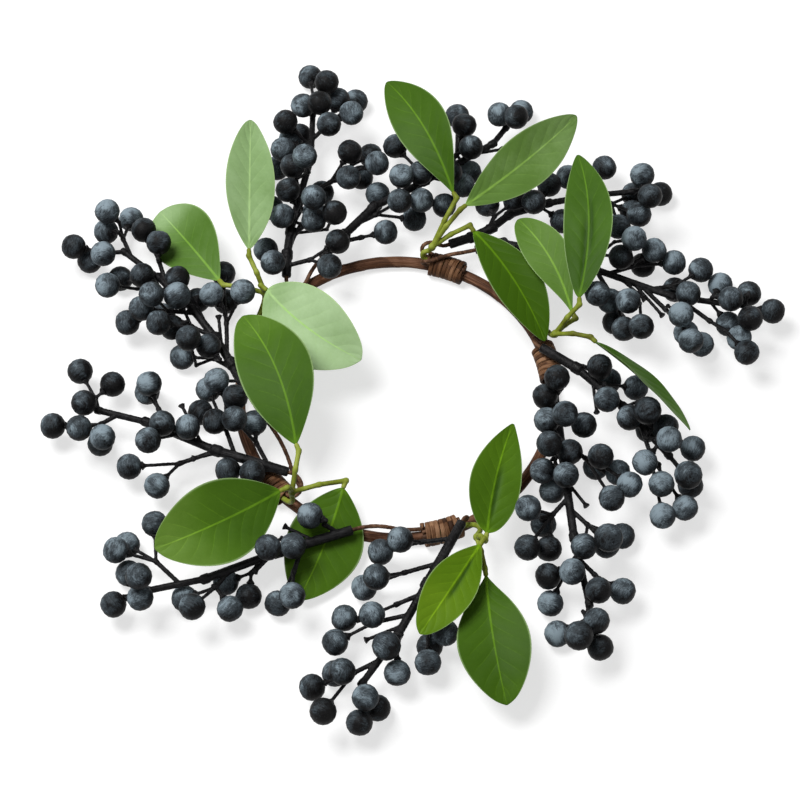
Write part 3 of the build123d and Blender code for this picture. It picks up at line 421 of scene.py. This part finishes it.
def makeBerries(skin):
    ball, quads = ballGrid(berry["cells"])
    total = 0
    for number in range(1, sprayCount + 1):
        centres, radii, flats = readBerries(f"berries_{number}")
        count = len(centres)
        draw = np.random.default_rng(100 + number)
        # Each ball point p lies at centre + p * radius * (1 + lumps(p) - dimple at the end away from the
        # twig), and is held inside the plane of the flat that its twig's cup fits.
        shift = draw.uniform(-9, 9, (count, 1, 3))
        lumps = berry["lumps"] * waves(ball[None] + shift, berry["lumpSize"], number)
        toEnd = -np.einsum("pk,bk->bp", ball, flats)
        dimple = berry["dimple"] * smoothStep(1 - berry["dimpleReach"], 1.0, toEnd)
        reach = radii[:, None] * (1 + lumps - dimple)
        points = ball[None] * reach[..., None]
        flatReach = np.sqrt(radii ** 2 - berry["flatRadius"] ** 2)
        over = np.maximum(np.einsum("bpk,bk->bp", points, flats) - flatReach[:, None], 0)
        points = centres[:, None] + points - over[..., None] * flats[:, None]
        faces = (quads[None] + np.arange(count)[:, None, None] * len(ball)).reshape(-1, 4)
        mesh = surfaceMesh(f"berries{number}", points, faces.tolist())
        skinPlace = np.einsum("bij,pj->bpi", turnedTo(-flats, draw), ball)
        bloom = np.clip(draw.normal(berry["bloomShares"][number - 1], berry["bloomSpread"], count), -0.1, 1.1)
        # Painted light: the bloom share grows on the side of each ball that faces the key lamp.
        bloom = bloom[:, None] + berry["litSideShare"] * (ball @ unit(np.array(berry["litSide"])))[None]
        addAttribute(mesh, "skinPlace", skinPlace.reshape(-1, 3))
        addAttribute(mesh, "skinDraw", np.repeat(draw.uniform(-50, 50, (count, 3)), len(ball), axis=0))
        addAttribute(mesh, "bloomAndLitSide", bloom)
        addPiece(f"berrySkins{number}", mesh, skin, f"berries_{number}")
        total += count
    print("berries:", total)


# Berry stems: satin black moulded twigs with knuckles and cups

stem = {
    "voxel": 0.3 * mm, "smoothSteps": 5, "grow": 0.09 * mm, "ribs": 0.06 * mm, "ribSize": 1.3 * mm,
    "black": (0.003, 0.0028, 0.0032), "worn": (0.022, 0.0215, 0.023), "roughness": 0.42,
    "lineStretch": (0.16, 1.5, 1.5), "dustScale": 0.22, "grainDepth": 0.3 * mm,
    "lobes": 5, "lobeReach": 2.3 * mm, "lobeSize": 0.34 * mm,  # the torn rim of each cup
}


def stemPlastic():
    material, tree, shader = newFinish("blackStemPlastic")
    place = attribute(tree, "grainPlace").outputs["Vector"]  # millimetres, x along the spray's main stem
    lines = noise(tree, stretched(tree, place, stem["lineStretch"]), 1.0, 4.0, 0.62, 0.5)
    dust = noise(tree, place, stem["dustScale"], 4.0, 0.6, 0.4)
    shade = mixed(tree, (lines, 0.6), (dust, 0.6))
    colour = blendColours(tree, level(tree, shade, 0.54, 0.8), stem["black"], stem["worn"])
    tree.links.new(colour, shader.inputs["Base Color"])
    rough = level(tree, lines, 0.3, 0.7, stem["roughness"] - 0.06, stem["roughness"] + 0.16)
    tree.links.new(rough, shader.inputs["Roughness"])
    shader.inputs["Specular IOR Level"].default_value = 0.1
    bump(tree, shader, lines, stem["grainDepth"], 0.75)
    return material


def tearCups(mesh, number):
    # Round each berry's flat, a point of the rim moves out from the cup's axis by lobeSize times
    # sin(lobes * angle), times its nearness to the flat's plane and to its edge.
    points = readPoints(mesh)
    draw = np.random.default_rng(300 + number)
    for centre, radius, flat in zip(*readBerries(f"berries_{number}")):
        rim = centre + flat * math.sqrt(radius ** 2 - berry["flatRadius"] ** 2)
        near = np.flatnonzero(np.linalg.norm(points - rim, axis=1) < stem["lobeReach"])
        if len(near) == 0:
            continue
        local = points[near] - rim
        depth = local @ flat
        spoke = local - depth[:, None] * flat
        reach = np.maximum(np.linalg.norm(spoke, axis=1), 1e-6)
        first = unit(np.cross(flat, draw.normal(size=3)))
        angle = np.arctan2(spoke @ np.cross(flat, first), spoke @ first)
        share = (1 - smoothStep(0.2 * mm, 1.5 * mm, np.abs(depth))) * smoothStep(0.7 * mm, 1.3 * mm, reach)
        move = stem["lobeSize"] * share * (0.5 + np.sin(stem["lobes"] * angle))
        points[near] += (move / reach)[:, None] * spoke
    mesh.vertices.foreach_set("co", points.ravel())
    mesh.update()


def makeStems(plastic):
    for number in range(1, sprayCount + 1):
        mesh = softCopy(f"berry_stem_{number}", stem["voxel"], stem["smoothSteps"])
        points = readPoints(mesh)
        swell(mesh, stem["grow"] + stem["ribs"] * waves(points, stem["ribSize"], number))
        tearCups(mesh, number)
        middle = points.mean(axis=0)
        spread = np.linalg.eigh(np.cov((points - middle).T))[1][:, ::-1]
        addAttribute(mesh, "grainPlace", (points - middle) @ spread / mm)
        addPiece(f"berryStem{number}", mesh, plastic, f"berry_stem_{number}")
    print("berry stems:", sprayCount)


# Leaves: moulded blades with a raised midrib and printed side veins

leaf = {
    "rows": 48, "columns": 56, "thickness": 0.5 * mm, "rib": 0.16 * mm, "ribBelow": 0.42 * mm,
    "ribWidth": 0.6 * mm, "curl": 1.3, "ripple": 0.16 * mm, "rippleSize": 17 * mm,
    "rimWave": 0.45 * mm, "rimWaveSize": 24 * mm, "veinSteps": 8.5, "veinSweep": 1.9,
    "creaseDepth": 0.6 * mm, "creaseWidth": 0.09, "columnPull": 1.3, "cloudScale": 38.0, "fineScale": 800.0,
    "veinWidth": 0.17, "rimBegins": 0.94, "quiltDepth": 0.22 * mm,
    "stationShares": (0.0, 0.04, 0.12, 0.25, 0.4, 0.55, 0.7, 0.84, 0.94, 1.0),  # the blade's own sections
}
leafColours = ((0.036, 0.09, 0.007), (0.063, 0.142, 0.015), (0.115, 0.215, 0.05), (0.25, 0.385, 0.165),
               (0.41, 0.57, 0.31))  # the blade from its darkest to its palest green
leafVeins = ((0.09, 0.2, 0.013), (0.145, 0.3, 0.027), (0.23, 0.41, 0.08), (0.37, 0.55, 0.235),
             (0.36, 0.62, 0.17))  # the midrib and side veins, in the same order
leafRim = (0.42, 0.58, 0.26)  # paler along the edge
leafCreaseShade = (0.02, 0.055, 0.004)  # painted shade down in a fold
leafUnderShare = 0.55  # how far the underside is blended to the veins' colour
veinShares = {"green_leaf": 0.3, "light_leaf": 0.28, "pale_leaf": 0.14}
yellowShare = (1, 1, 0.15)  # the tint that a yellower leaf is blended to
leafToneShares = {  # from the darkest to the palest green at the base, the middle and the tip, and the yellow
    "leaf_1a": (0.7, 0.74, 0.82, 0.0), "leaf_1b": (0.36, 0.3, 0.72, 0.0), "leaf_1c": (0.87, 0.93, 0.96, 0.0),
    "leaf_2a": (0.0, 0.06, 0.12, 0.4), "leaf_2b": (0.5, 0.5, 0.6, 0.15), "leaf_2c": (0.06, 0.0, 0.0, 0.9),
    "leaf_3a": (0.42, 0.4, 0.38, 0.25), "leaf_3b": (0.0, 0.12, 0.1, 0.1), "leaf_3c": (0.0, 0.1, 0.35, 0.0),
    "leaf_4a": (0.14, 0.18, 0.18, 0.8), "leaf_4b": (0.38, 0.32, 0.42, 1.0), "leaf_4c": (0.0, 0.08, 0.04, 0.7),
    # leaf_5c's tones are lifted paler as painted light, to make up for the shade that falls on it
    "leaf_5a": (0.0, 0.04, 0.28, 0.4), "leaf_5b": (0.0, 0.14, 0.48, 0.5), "leaf_5c": (0.16, 0.16, 0.18, 0.7),
}


creaseShares = {  # folds beside the midrib, each darkened with painted shade: the place across, where each begins and where it ends
    "leaf_3b": ((0.13, 0.1, 0.5), (-0.12, 0.3, 0.62)), "leaf_4a": ((-0.13, 0.14, 0.54),),
    "leaf_4b": ((0.14, 0.16, 0.6),),
}


def leafPrint(slotName):
    material, tree, shader = newFinish("moulded" + slotName.split("_")[0].title() + "Leaf")
    parts = addNode(tree, "ShaderNodeSeparateXYZ", Vector=attribute(tree, "bladePlace").outputs["Vector"])
    side, share, width = parts.outputs  # -1 to 1 across, 0 to 1 from base to tip, millimetres from the midrib
    under = attribute(tree, "underside").outputs["Fac"]
    tone = attribute(tree, "bladeTone").outputs["Fac"]
    away = math1(tree, "ABSOLUTE", side)
    place = objectPlace(tree)
    cloud = noise(tree, place, leaf["cloudScale"], 3.0, 0.5, 0.2)
    fine = noise(tree, place, leaf["fineScale"], 3.0, 0.6)
    tone = math1(tree, "ADD", tone, mixed(tree, (math1(tree, "SUBTRACT", cloud, 0.5), 0.55),
                                          (math1(tree, "SUBTRACT", fine, 0.5), 0.1)))
    stops = [index / 4 for index in range(5)]
    colour = ramp(tree, tone, *zip(stops, leafColours))
    pale = ramp(tree, tone, *zip(stops, leafVeins))
    # Side veins leave the midrib at even steps and sweep towards the tip.
    sweep = math1(tree, "MULTIPLY", math1(tree, "POWER", away, 0.85), leaf["veinSweep"])
    phase = math1(tree, "SUBTRACT", math1(tree, "MULTIPLY", share, leaf["veinSteps"]), sweep)
    phase = math1(tree, "ADD", phase, math1(tree, "MULTIPLY", cloud, 0.9))
    phase = math1(tree, "ADD", phase, math1(tree, "MULTIPLY", math1(tree, "SIGN", side), 0.22))
    wave = math1(tree, "ABSOLUTE", math1(tree, "SINE", math1(tree, "MULTIPLY", phase, math.pi)))
    vein = level(tree, wave, 0.0, leaf["veinWidth"], 1.0, 0.0)
    fade = level(tree, away, 0.3, 0.95, 1.0, 0.0)
    drawn = math1(tree, "MULTIPLY", vein, math1(tree, "MULTIPLY", fade, veinShares[slotName]))
    drawn = math1(tree, "MULTIPLY", drawn, level(tree, fine, 0.3, 0.6, 0.5, 1.0))
    colour = blendColours(tree, drawn, colour, pale)
    ribEdge = math1(tree, "ADD", math1(tree, "MULTIPLY", share, -0.5), 0.78)
    rib = level(tree, math1(tree, "DIVIDE", width, ribEdge), 0.25, 1.0, 0.95, 0.0)
    rib = math1(tree, "MULTIPLY", rib, level(tree, share, 0.75, 1.0, 1.0, 0.35))
    colour = blendColours(tree, rib, colour, pale)
    colour = blendColours(tree, level(tree, share, 0.0, 0.07, 0.6, 0.0), colour, pale)
    colour = blendColours(tree, math1(tree, "MULTIPLY", under, leafUnderShare), colour, pale)
    yellower = addNode(tree, "ShaderNodeVectorMath", {"operation": "MULTIPLY"}, i0=colour, i1=yellowShare)
    colour = blendColours(tree, attribute(tree, "bladeYellow").outputs["Fac"], colour, yellower.outputs[0])
    colour = blendColours(tree, level(tree, away, leaf["rimBegins"], 0.995, 0.0, 0.5), colour, leafRim)
    # Painted shade darkens the blade along each fold.
    creaseShade = math1(tree, "MULTIPLY", attribute(tree, "bladeCreaseShade").outputs["Fac"], 0.95)
    colour = blendColours(tree, creaseShade, colour, leafCreaseShade)
    tree.links.new(colour, shader.inputs["Base Color"])
    tree.links.new(level(tree, under, 0.0, 1.0, 0.5, 0.62), shader.inputs["Roughness"])
    shader.inputs["Specular IOR Level"].default_value = 0.08
    quilt = math1(tree, "MULTIPLY", wave, level(tree, away, 0.5, 1.0, 1.0, 0.0))
    bump(tree, shader, mixed(tree, (quilt, 0.9), (fine, 0.2)), leaf["quiltDepth"], 0.5)
    return material


def readBlade(nodeName):
    # The blade's base and tip are the middles of its end faces. At each section it gives the place of the
    # left edge, the midrib and the right edge, halfway through the blade.
    points = np.unique(np.round(readPoints(nodes[nodeName].data) / mm, 4), axis=0) * mm
    axis = np.linalg.svd(points - points.mean(axis=0), full_matrices=False)[2][0]
    stalks = readPoints(nodes["leaf_stem_" + nodeName[5]].data)
    ends = points[(points @ axis).argmin()], points[(points @ axis).argmax()]
    gaps = [np.linalg.norm(stalks - end, axis=1).min() for end in ends]
    axis = axis if gaps[0] < gaps[1] else -axis
    for attempt in range(4):  # the end faces' middles settle as the axis turns
        reach = points @ axis
        base = points[reach < reach.min() + 0.05 * mm].mean(axis=0)
        tip = points[reach > reach.max() - 0.05 * mm].mean(axis=0)
        axis = unit(tip - base)
    length = np.linalg.norm(tip - base)
    reach = (points - base) @ axis / length
    sections = [points[np.abs(reach - share) < 0.0004] for share in leaf["stationShares"]]
    middle = sections[len(sections) // 2]
    spread = np.linalg.svd(middle - middle.mean(axis=0), full_matrices=False)[2][0]
    across = unit(spread - axis * (spread @ axis))
    normal = np.cross(axis, across)
    if normal @ sightDirection() < 0:
        across, normal = -across, -normal
    tracks = []
    for section in sections:
        sideways = section @ across
        low, high = sideways.min(), sideways.max()
        left = section[sideways < low + 0.02 * mm].mean(axis=0)
        right = section[sideways > high - 0.02 * mm].mean(axis=0)
        nearest = np.abs(sideways - (low + high) / 2)
        rib = section[nearest < nearest.min() + 0.02 * mm].mean(axis=0)
        tracks.append(np.concatenate((left, rib, right)))
    return {"axis": axis, "across": across, "normal": normal, "length": length, "tracks": np.array(tracks)}


def makeLeaf(nodeName, finish, number):
    blade = readBlade(nodeName)
    rows, columns = leaf["rows"], leaf["columns"]
    marks = np.arccos(1 - 2 * np.array(leaf["stationShares"])) / math.pi
    places = np.linspace(0, 1, rows)
    share = (1 - np.cos(places * math.pi)) / 2  # closer rows at the base and the tip
    left, rib, right = np.split(smoothTrack(marks, blade["tracks"], places), 3, axis=1)
    turn = np.arange(columns) / columns * 2 * math.pi
    side = np.sign(np.cos(turn)) * np.abs(np.cos(turn)) ** leaf["columnPull"]  # closer beside the midrib
    away = np.abs(side)
    # The section runs round from the right edge over the top to the left edge and back below, so the blade
    # is one closed skin. Across it, a point goes from the midrib to the edge, and its height follows the
    # edge's height times away ** curl, plus half the thickness times sin(turn), plus the midrib's ridge.
    edge = np.where(side[None, :, None] > 0, right[:, None], left[:, None]) - rib[:, None]
    rise = (edge @ blade["normal"])[..., None] * blade["normal"]
    flat = rib[:, None] + (edge - rise) * away[None, :, None]
    width = np.linalg.norm((edge - rise) * away[None, :, None], axis=-1)
    full = np.linalg.norm(right - left, axis=1)[:, None]
    thin = 0.4 + 0.6 * np.minimum(full / full.max() * 1.5, 1)
    skin = leaf["thickness"] / 2 * np.sin(turn)[None] * thin
    slim = leaf["ribWidth"] * (1.1 - 0.7 * share[:, None])
    ridge = np.exp(-(width / slim) ** 2) * (1 - 0.75 * share[:, None])
    above = np.sin(turn)[None] > 0.05
    below = np.sin(turn)[None] < -0.05
    skin = skin + ridge * (leaf["rib"] * above - leaf["ribBelow"] * below)
    bend = leaf["ripple"] * waves(flat, leaf["rippleSize"], 20 + number) * np.minimum(away * 2, 1)
    bend = bend + leaf["rimWave"] * away[None] ** 3 * waves(flat, leaf["rimWaveSize"], 40 + number)
    bend = bend * np.sin(share[:, None] * math.pi) ** 0.5
    crease = np.zeros((rows, columns))  # a valley along the blade that fades at both of its ends
    for place, start, end in creaseShares.get(nodeName, ()):
        along = smoothStep(start - 0.1, start + 0.1, share) * (1 - smoothStep(end - 0.1, end + 0.1, share))
        crease = crease + along[:, None] * np.exp(-((side[None] - place) / leaf["creaseWidth"]) ** 2)
    bend = bend - leaf["creaseDepth"] * crease
    height = (skin + bend)[..., None] * blade["normal"] + rise * (away ** leaf["curl"])[None, :, None]
    points = flat + height
    last = (rows - 1) * columns
    caps = [list(range(columns))[::-1], list(range(last, last + columns))]
    mesh = surfaceMesh(nodeName, points, gridFaces(rows, columns) + caps)
    place = np.stack(np.broadcast_arrays(side[None], share[:, None], width / mm), axis=-1)
    addAttribute(mesh, "bladePlace", place.reshape(-1, 3))
    addAttribute(mesh, "underside", np.broadcast_to(below, (rows, columns)).ravel())
    *tones, yellow = leafToneShares[nodeName]
    addAttribute(mesh, "bladeTone", np.repeat(np.interp(share, (0.15, 0.5, 0.85), tones), columns))
    addAttribute(mesh, "bladeYellow", np.full(rows * columns, yellow))
    # the folds' mask, which carries the painted shade along them
    addAttribute(mesh, "bladeCreaseShade", crease.ravel())
    addPiece("blade" + nodeName[5:], mesh, finish, nodeName)


def makeLeaves():
    finishes = {slotName: leafPrint(slotName) for slotName in veinShares}
    for number, nodeName in enumerate(leafNames):
        makeLeaf(nodeName, finishes[slotNames[nodeName]], number)
    print("leaves:", len(leafNames))


# Leaf stalks: yellow-green moulded stalks that fork from one stem

stalk = {
    "voxel": 0.25 * mm, "smoothSteps": 36, "grow": 0.36 * mm, "lumps": 0.05 * mm, "lumpSize": 4.5 * mm,
    "olive": (0.105, 0.11, 0.012), "green": (0.2, 0.245, 0.025), "pale": (0.33, 0.38, 0.07),
    "taped": (0.07, 0.035, 0.02), "tapedReach": 6 * mm,  # brown past the binding's middle, this near the ring
    "mottleScale": 110.0, "streakScale": 600.0,
}


def stalkPlastic():
    material, tree, shader = newFinish("stalkPlastic")
    place = objectPlace(tree)
    mottle = noise(tree, place, stalk["mottleScale"], 3.0, 0.6, 0.4)
    streaks = noise(tree, place, stalk["streakScale"], 3.0, 0.6)
    colour = ramp(tree, mottle, (0.3, stalk["olive"]), (0.5, stalk["green"]), (0.72, stalk["pale"]))
    colour = blendColours(tree, attribute(tree, "tapedShare").outputs["Fac"], colour, stalk["taped"])
    tree.links.new(colour, shader.inputs["Base Color"])
    shader.inputs["Roughness"].default_value = 0.48
    shader.inputs["Specular IOR Level"].default_value = 0.12
    bump(tree, shader, streaks, 0.1 * mm, 0.4)
    return material


def makeStalks(sizes):
    plastic = stalkPlastic()
    for number in range(1, pickCount + 1):
        mesh = softCopy(f"leaf_stem_{number}", stalk["voxel"], stalk["smoothSteps"])
        points = readPoints(mesh)
        bound = readPoints(nodes[bindingNames[number - 1]].data).mean(axis=0)
        bearing = np.arctan2(points[:, 1], points[:, 0]) - math.atan2(bound[1], bound[0])
        along = sizes["radius"] * ((bearing + math.pi) % (2 * math.pi) - math.pi)
        fromAxis = np.hypot(points[:, 0], points[:, 1])
        fromRing = np.hypot(fromAxis - sizes["radius"], points[:, 2] - sizes["height"])
        taped = (1 - smoothStep(-2 * mm, 0, along)) * (fromRing < stalk["tapedReach"])
        addAttribute(mesh, "tapedShare", taped)
        swell(mesh, stalk["grow"] + stalk["lumps"] * waves(points, stalk["lumpSize"], 60 + number))
        addPiece(f"leafStalks{number}", mesh, plastic, f"leaf_stem_{number}")
    print("leaf stalks:", pickCount)


# Ring: brown paper tape wound round the wire in long overlapping turns

ring = {
    "rows": 720, "columns": 24, "tapeTurns": 26, "tapeStep": 0.16 * mm, "lumps": 0.1 * mm, "lumpSize": 9 * mm,
    "dark": (0.026, 0.01, 0.005), "brown": (0.1, 0.042, 0.021), "tan": (0.27, 0.14, 0.085),
    "streakStretch": (0.06, 1.6, 0),
}


def paperFinish(name, tones):
    # Streaks run along the paper: the attribute holds the place along it, across it, and the turn's own tone.
    material, tree, shader = newFinish(name)
    place = attribute(tree, "paperPlace").outputs["Vector"]
    parts = addNode(tree, "ShaderNodeSeparateXYZ", Vector=place)
    streaks = noise(tree, stretched(tree, place, tones["streakStretch"]), 1.0, 5.0, 0.65, 0.3)
    blotches = noise(tree, objectPlace(tree), 90.0, 3.0, 0.6, 0.5)
    shade = mixed(tree, (streaks, 0.75), (blotches, 0.3), (parts.outputs[2], 1.0))
    colour = ramp(tree, shade, (0.38, tones["dark"]), (0.54, tones["brown"]), (0.72, tones["tan"]))
    tree.links.new(colour, shader.inputs["Base Color"])
    shader.inputs["Roughness"].default_value = 0.6
    shader.inputs["Specular IOR Level"].default_value = 0.12
    bump(tree, shader, streaks, 0.25 * mm, 0.7)
    return material


def ringSizes():
    low, high = (np.array(corner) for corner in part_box("ring_tape"))
    tube = (high[2] - low[2]) / 2
    return {"tube": tube, "radius": (high[0] - low[0]) / 2 - tube, "height": (high[2] + low[2]) / 2}


def makeRing(sizes):
    rows, columns = ring["rows"], ring["columns"]
    turn = np.arange(rows)[:, None] / rows * 2 * math.pi
    around = np.arange(columns)[None] / columns * 2 * math.pi
    # Tube radius = wrap radius less a saw-tooth step at each tape edge, which winds tapeTurns times round
    # the tube in one trip round the ring, and less some soft lumps.
    phase = (turn * ring["tapeTurns"] / (2 * math.pi) + around / (2 * math.pi)) % 1
    outward = np.stack(np.broadcast_arrays(np.cos(turn), np.sin(turn), np.zeros_like(turn)), axis=-1)
    centre = outward * sizes["radius"] + np.array([0, 0, sizes["height"]])
    lumps = np.abs(waves(centre, ring["lumpSize"], 7)) * ring["lumps"]
    edge = ring["tapeStep"] * (phase - smoothStep(0.93, 1.0, phase))
    tube = sizes["tube"] - edge - lumps
    points = centre + tube[..., None] * (outward * np.cos(around)[..., None]
                                         + np.array([0, 0, 1.0]) * np.sin(around)[..., None])
    mesh = surfaceMesh("ringPaper", points, gridFaces(rows, columns, closedRows=True))
    mesh.flip_normals()  # the grid's own order faces inwards
    along = np.minimum(turn, 2 * math.pi - turn) * sizes["radius"] / mm
    place = np.stack(np.broadcast_arrays(along, np.cos(around) * 3, 0.1 * (phase - 0.5)), axis=-1)
    addAttribute(mesh, "paperPlace", place.reshape(-1, 3))
    addPiece("ringPaper", mesh, paperFinish("ringPaper", ring), "ring_tape")
    print("ring: paper tape")


# Bindings: paper-covered wire wound round the ring and the stem ends, pressed into a flat ribbed strip

binding = {
    "turns": 8, "pitch": 1.85 * mm, "halfWidth": 0.89 * mm, "halfThick": 0.6 * mm, "startTurn": 0.3,
    "rowsPerTurn": 56, "columns": 22, "cornerShare": 0.5, "groove": 0.2 * mm, "grooveWidth": 0.2 * mm,
    "crinkle": 0.07 * mm, "crinkleSize": 2.2 * mm, "lean": 0.12 * mm, "toneShare": 0.14,
    "dark": (0.03, 0.012, 0.005), "brown": (0.13, 0.058, 0.026), "tan": (0.34, 0.19, 0.105),
    "streakStretch": (0.15, 2.2, 0), "leanRate": 0.37, "endShare": 0.35, "endTurns": 0.12,
    "cutDepth": 0.5 * mm,  # how much of each turn's round is cut off by the table
}


def makeBindings(sizes):
    paper = paperFinish("bindingPaper", binding)
    upward = np.array([0, 0, 1.0])
    for number, nodeName in enumerate(bindingNames, start=1):
        low, high = (np.array(corner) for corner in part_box(nodeName))
        points = readPoints(nodes[nodeName].data)
        middle = points.mean(axis=0)
        bearing = math.atan2(middle[1], middle[0])
        reach = (high[2] + binding["cutDepth"]) / 2 - binding["halfThick"]
        height = high[2] - binding["halfThick"] - reach
        rows, columns = binding["turns"] * binding["rowsPerTurn"] + 1, binding["columns"]
        progress = np.linspace(0, binding["turns"], rows)
        angle = (binding["startTurn"] + progress) * 2 * math.pi
        place = bearing + (progress - binding["turns"] / 2) * binding["pitch"] / sizes["radius"]
        outward = np.stack((np.cos(place), np.sin(place), np.zeros(rows)), axis=-1)
        forward = np.stack((-np.sin(place), np.cos(place), np.zeros(rows)), axis=-1)
        spoke = outward * np.cos(angle)[:, None] + upward * np.sin(angle)[:, None]
        # Helix round the ring's own curve: centre = ring point + reach * spoke. The section is a flattened
        # round with square shoulders, sign(cos) |cos| ** cornerShare wide and the same of sin thick, with a
        # groove along the middle of its outer side, so each turn shows two ribs.
        lean = binding["lean"] * np.sin(angle * binding["leanRate"] + number)
        centres = outward * sizes["radius"] + upward * height + spoke * reach + forward * lean[:, None]
        around = np.arange(columns) / columns * 2 * math.pi
        wide = np.sign(np.cos(around)) * np.abs(np.cos(around)) ** binding["cornerShare"]
        thick = np.sign(np.sin(around)) * np.abs(np.sin(around)) ** binding["cornerShare"]
        wide = wide * binding["halfWidth"]
        groove = binding["groove"] * np.exp(-(wide / binding["grooveWidth"]) ** 2) * (np.sin(around) > 0.1)
        crinkle = np.abs(waves(centres[:, None] + forward[:, None] * wide[None, :, None],
                               binding["crinkleSize"], 80 + number)) * binding["crinkle"]
        fromEnd = np.minimum(progress, binding["turns"] - progress)
        ends = smoothStep(0, binding["endTurns"], fromEnd)
        taper = binding["endShare"] + (1 - binding["endShare"]) * ends[:, None]
        outer = (thick * binding["halfThick"] - groove)[None] - crinkle * (np.sin(around) > 0.1)[None]
        wire = (centres[:, None] + forward[:, None] * (wide[None] * taper)[..., None]
                + spoke[:, None] * (outer * taper)[..., None])
        wire[..., 2] = np.maximum(wire[..., 2], 0)
        last = (rows - 1) * columns
        caps = [list(range(columns))[::-1], list(range(last, last + columns))]
        mesh = surfaceMesh(f"binding{number}", wire, gridFaces(rows, columns) + caps)
        mesh.flip_normals()  # the grid's own order faces inwards
        along = np.broadcast_to(progress[:, None] * 2 * math.pi * reach / mm, (rows, columns))
        tone = binding["toneShare"] * waves(np.floor(progress)[:, None] * np.ones(3), 2.7, number)
        tone = np.broadcast_to(tone[:, None], (rows, columns))
        spread = np.broadcast_to(wide[None] / mm * 2, (rows, columns))
        addAttribute(mesh, "paperPlace", np.stack((along, spread, tone), axis=-1).reshape(-1, 3))
        addPiece(f"bindingWire{number}", mesh, paper, nodeName)
    print("bindings:", len(bindingNames))


# Stem ends: paper-covered wires that lie in the bindings

stemEnd = {
    "voxel": 0.2 * mm, "smoothSteps": 3, "grow": 0.05 * mm, "crinkle": 0.1 * mm, "crinkleSize": 1.5 * mm,
    "dark": (0.02, 0.009, 0.005), "brown": (0.085, 0.04, 0.021), "tan": (0.27, 0.15, 0.09),
    "streakScale": 420.0, "blotchScale": 120.0,
}


def stemEndPaper():
    material, tree, shader = newFinish("stemEndPaper")
    place = objectPlace(tree)
    streaks = noise(tree, place, stemEnd["streakScale"], 4.0, 0.65, 1.0)
    blotches = noise(tree, place, stemEnd["blotchScale"], 3.0, 0.6, 0.5)
    shade = mixed(tree, (streaks, 0.65), (blotches, 0.35))
    colour = ramp(tree, shade, (0.34, stemEnd["dark"]), (0.5, stemEnd["brown"]), (0.7, stemEnd["tan"]))
    tree.links.new(colour, shader.inputs["Base Color"])
    shader.inputs["Roughness"].default_value = 0.62
    shader.inputs["Specular IOR Level"].default_value = 0.12
    bump(tree, shader, streaks, 0.2 * mm, 0.6)
    return material


def makeStemEnds():
    paper = stemEndPaper()
    for number in range(1, sprayCount + 1):
        mesh = softCopy(f"stem_end_{number}", stemEnd["voxel"], stemEnd["smoothSteps"])
        crinkle = stemEnd["crinkle"] * waves(readPoints(mesh), stemEnd["crinkleSize"], 120 + number)
        swell(mesh, stemEnd["grow"] - np.abs(crinkle))
        addPiece(f"stemEnd{number}", mesh, paper, f"stem_end_{number}")
    print("stem ends:", sprayCount)


# Ring wire: bright steel, closed in by the tape

ringWire = {"steel": (0.45, 0.45, 0.46), "scale": 300.0}


def finishRingWire():
    material, tree, shader = newFinish("drawnSteel")
    lines = noise(tree, objectPlace(tree), ringWire["scale"], 3.0)
    colour = blendColours(tree, lines, ringWire["steel"], tuple(0.7 * part for part in ringWire["steel"]))
    tree.links.new(colour, shader.inputs["Base Color"])
    shader.inputs["Metallic"].default_value = 1.0
    shader.inputs["Roughness"].default_value = 0.35
    nodes["ring_wire"].data.materials.clear()
    nodes["ring_wire"].data.materials.append(material)
    print("ring wire")


makeStage()
makeBerries(berrySkin())
makeStems(stemPlastic())
makeLeaves()
ringSize = ringSizes()
makeStalks(ringSize)
makeRing(ringSize)
makeBindings(ringSize)
makeStemEnds()
finishRingWire()
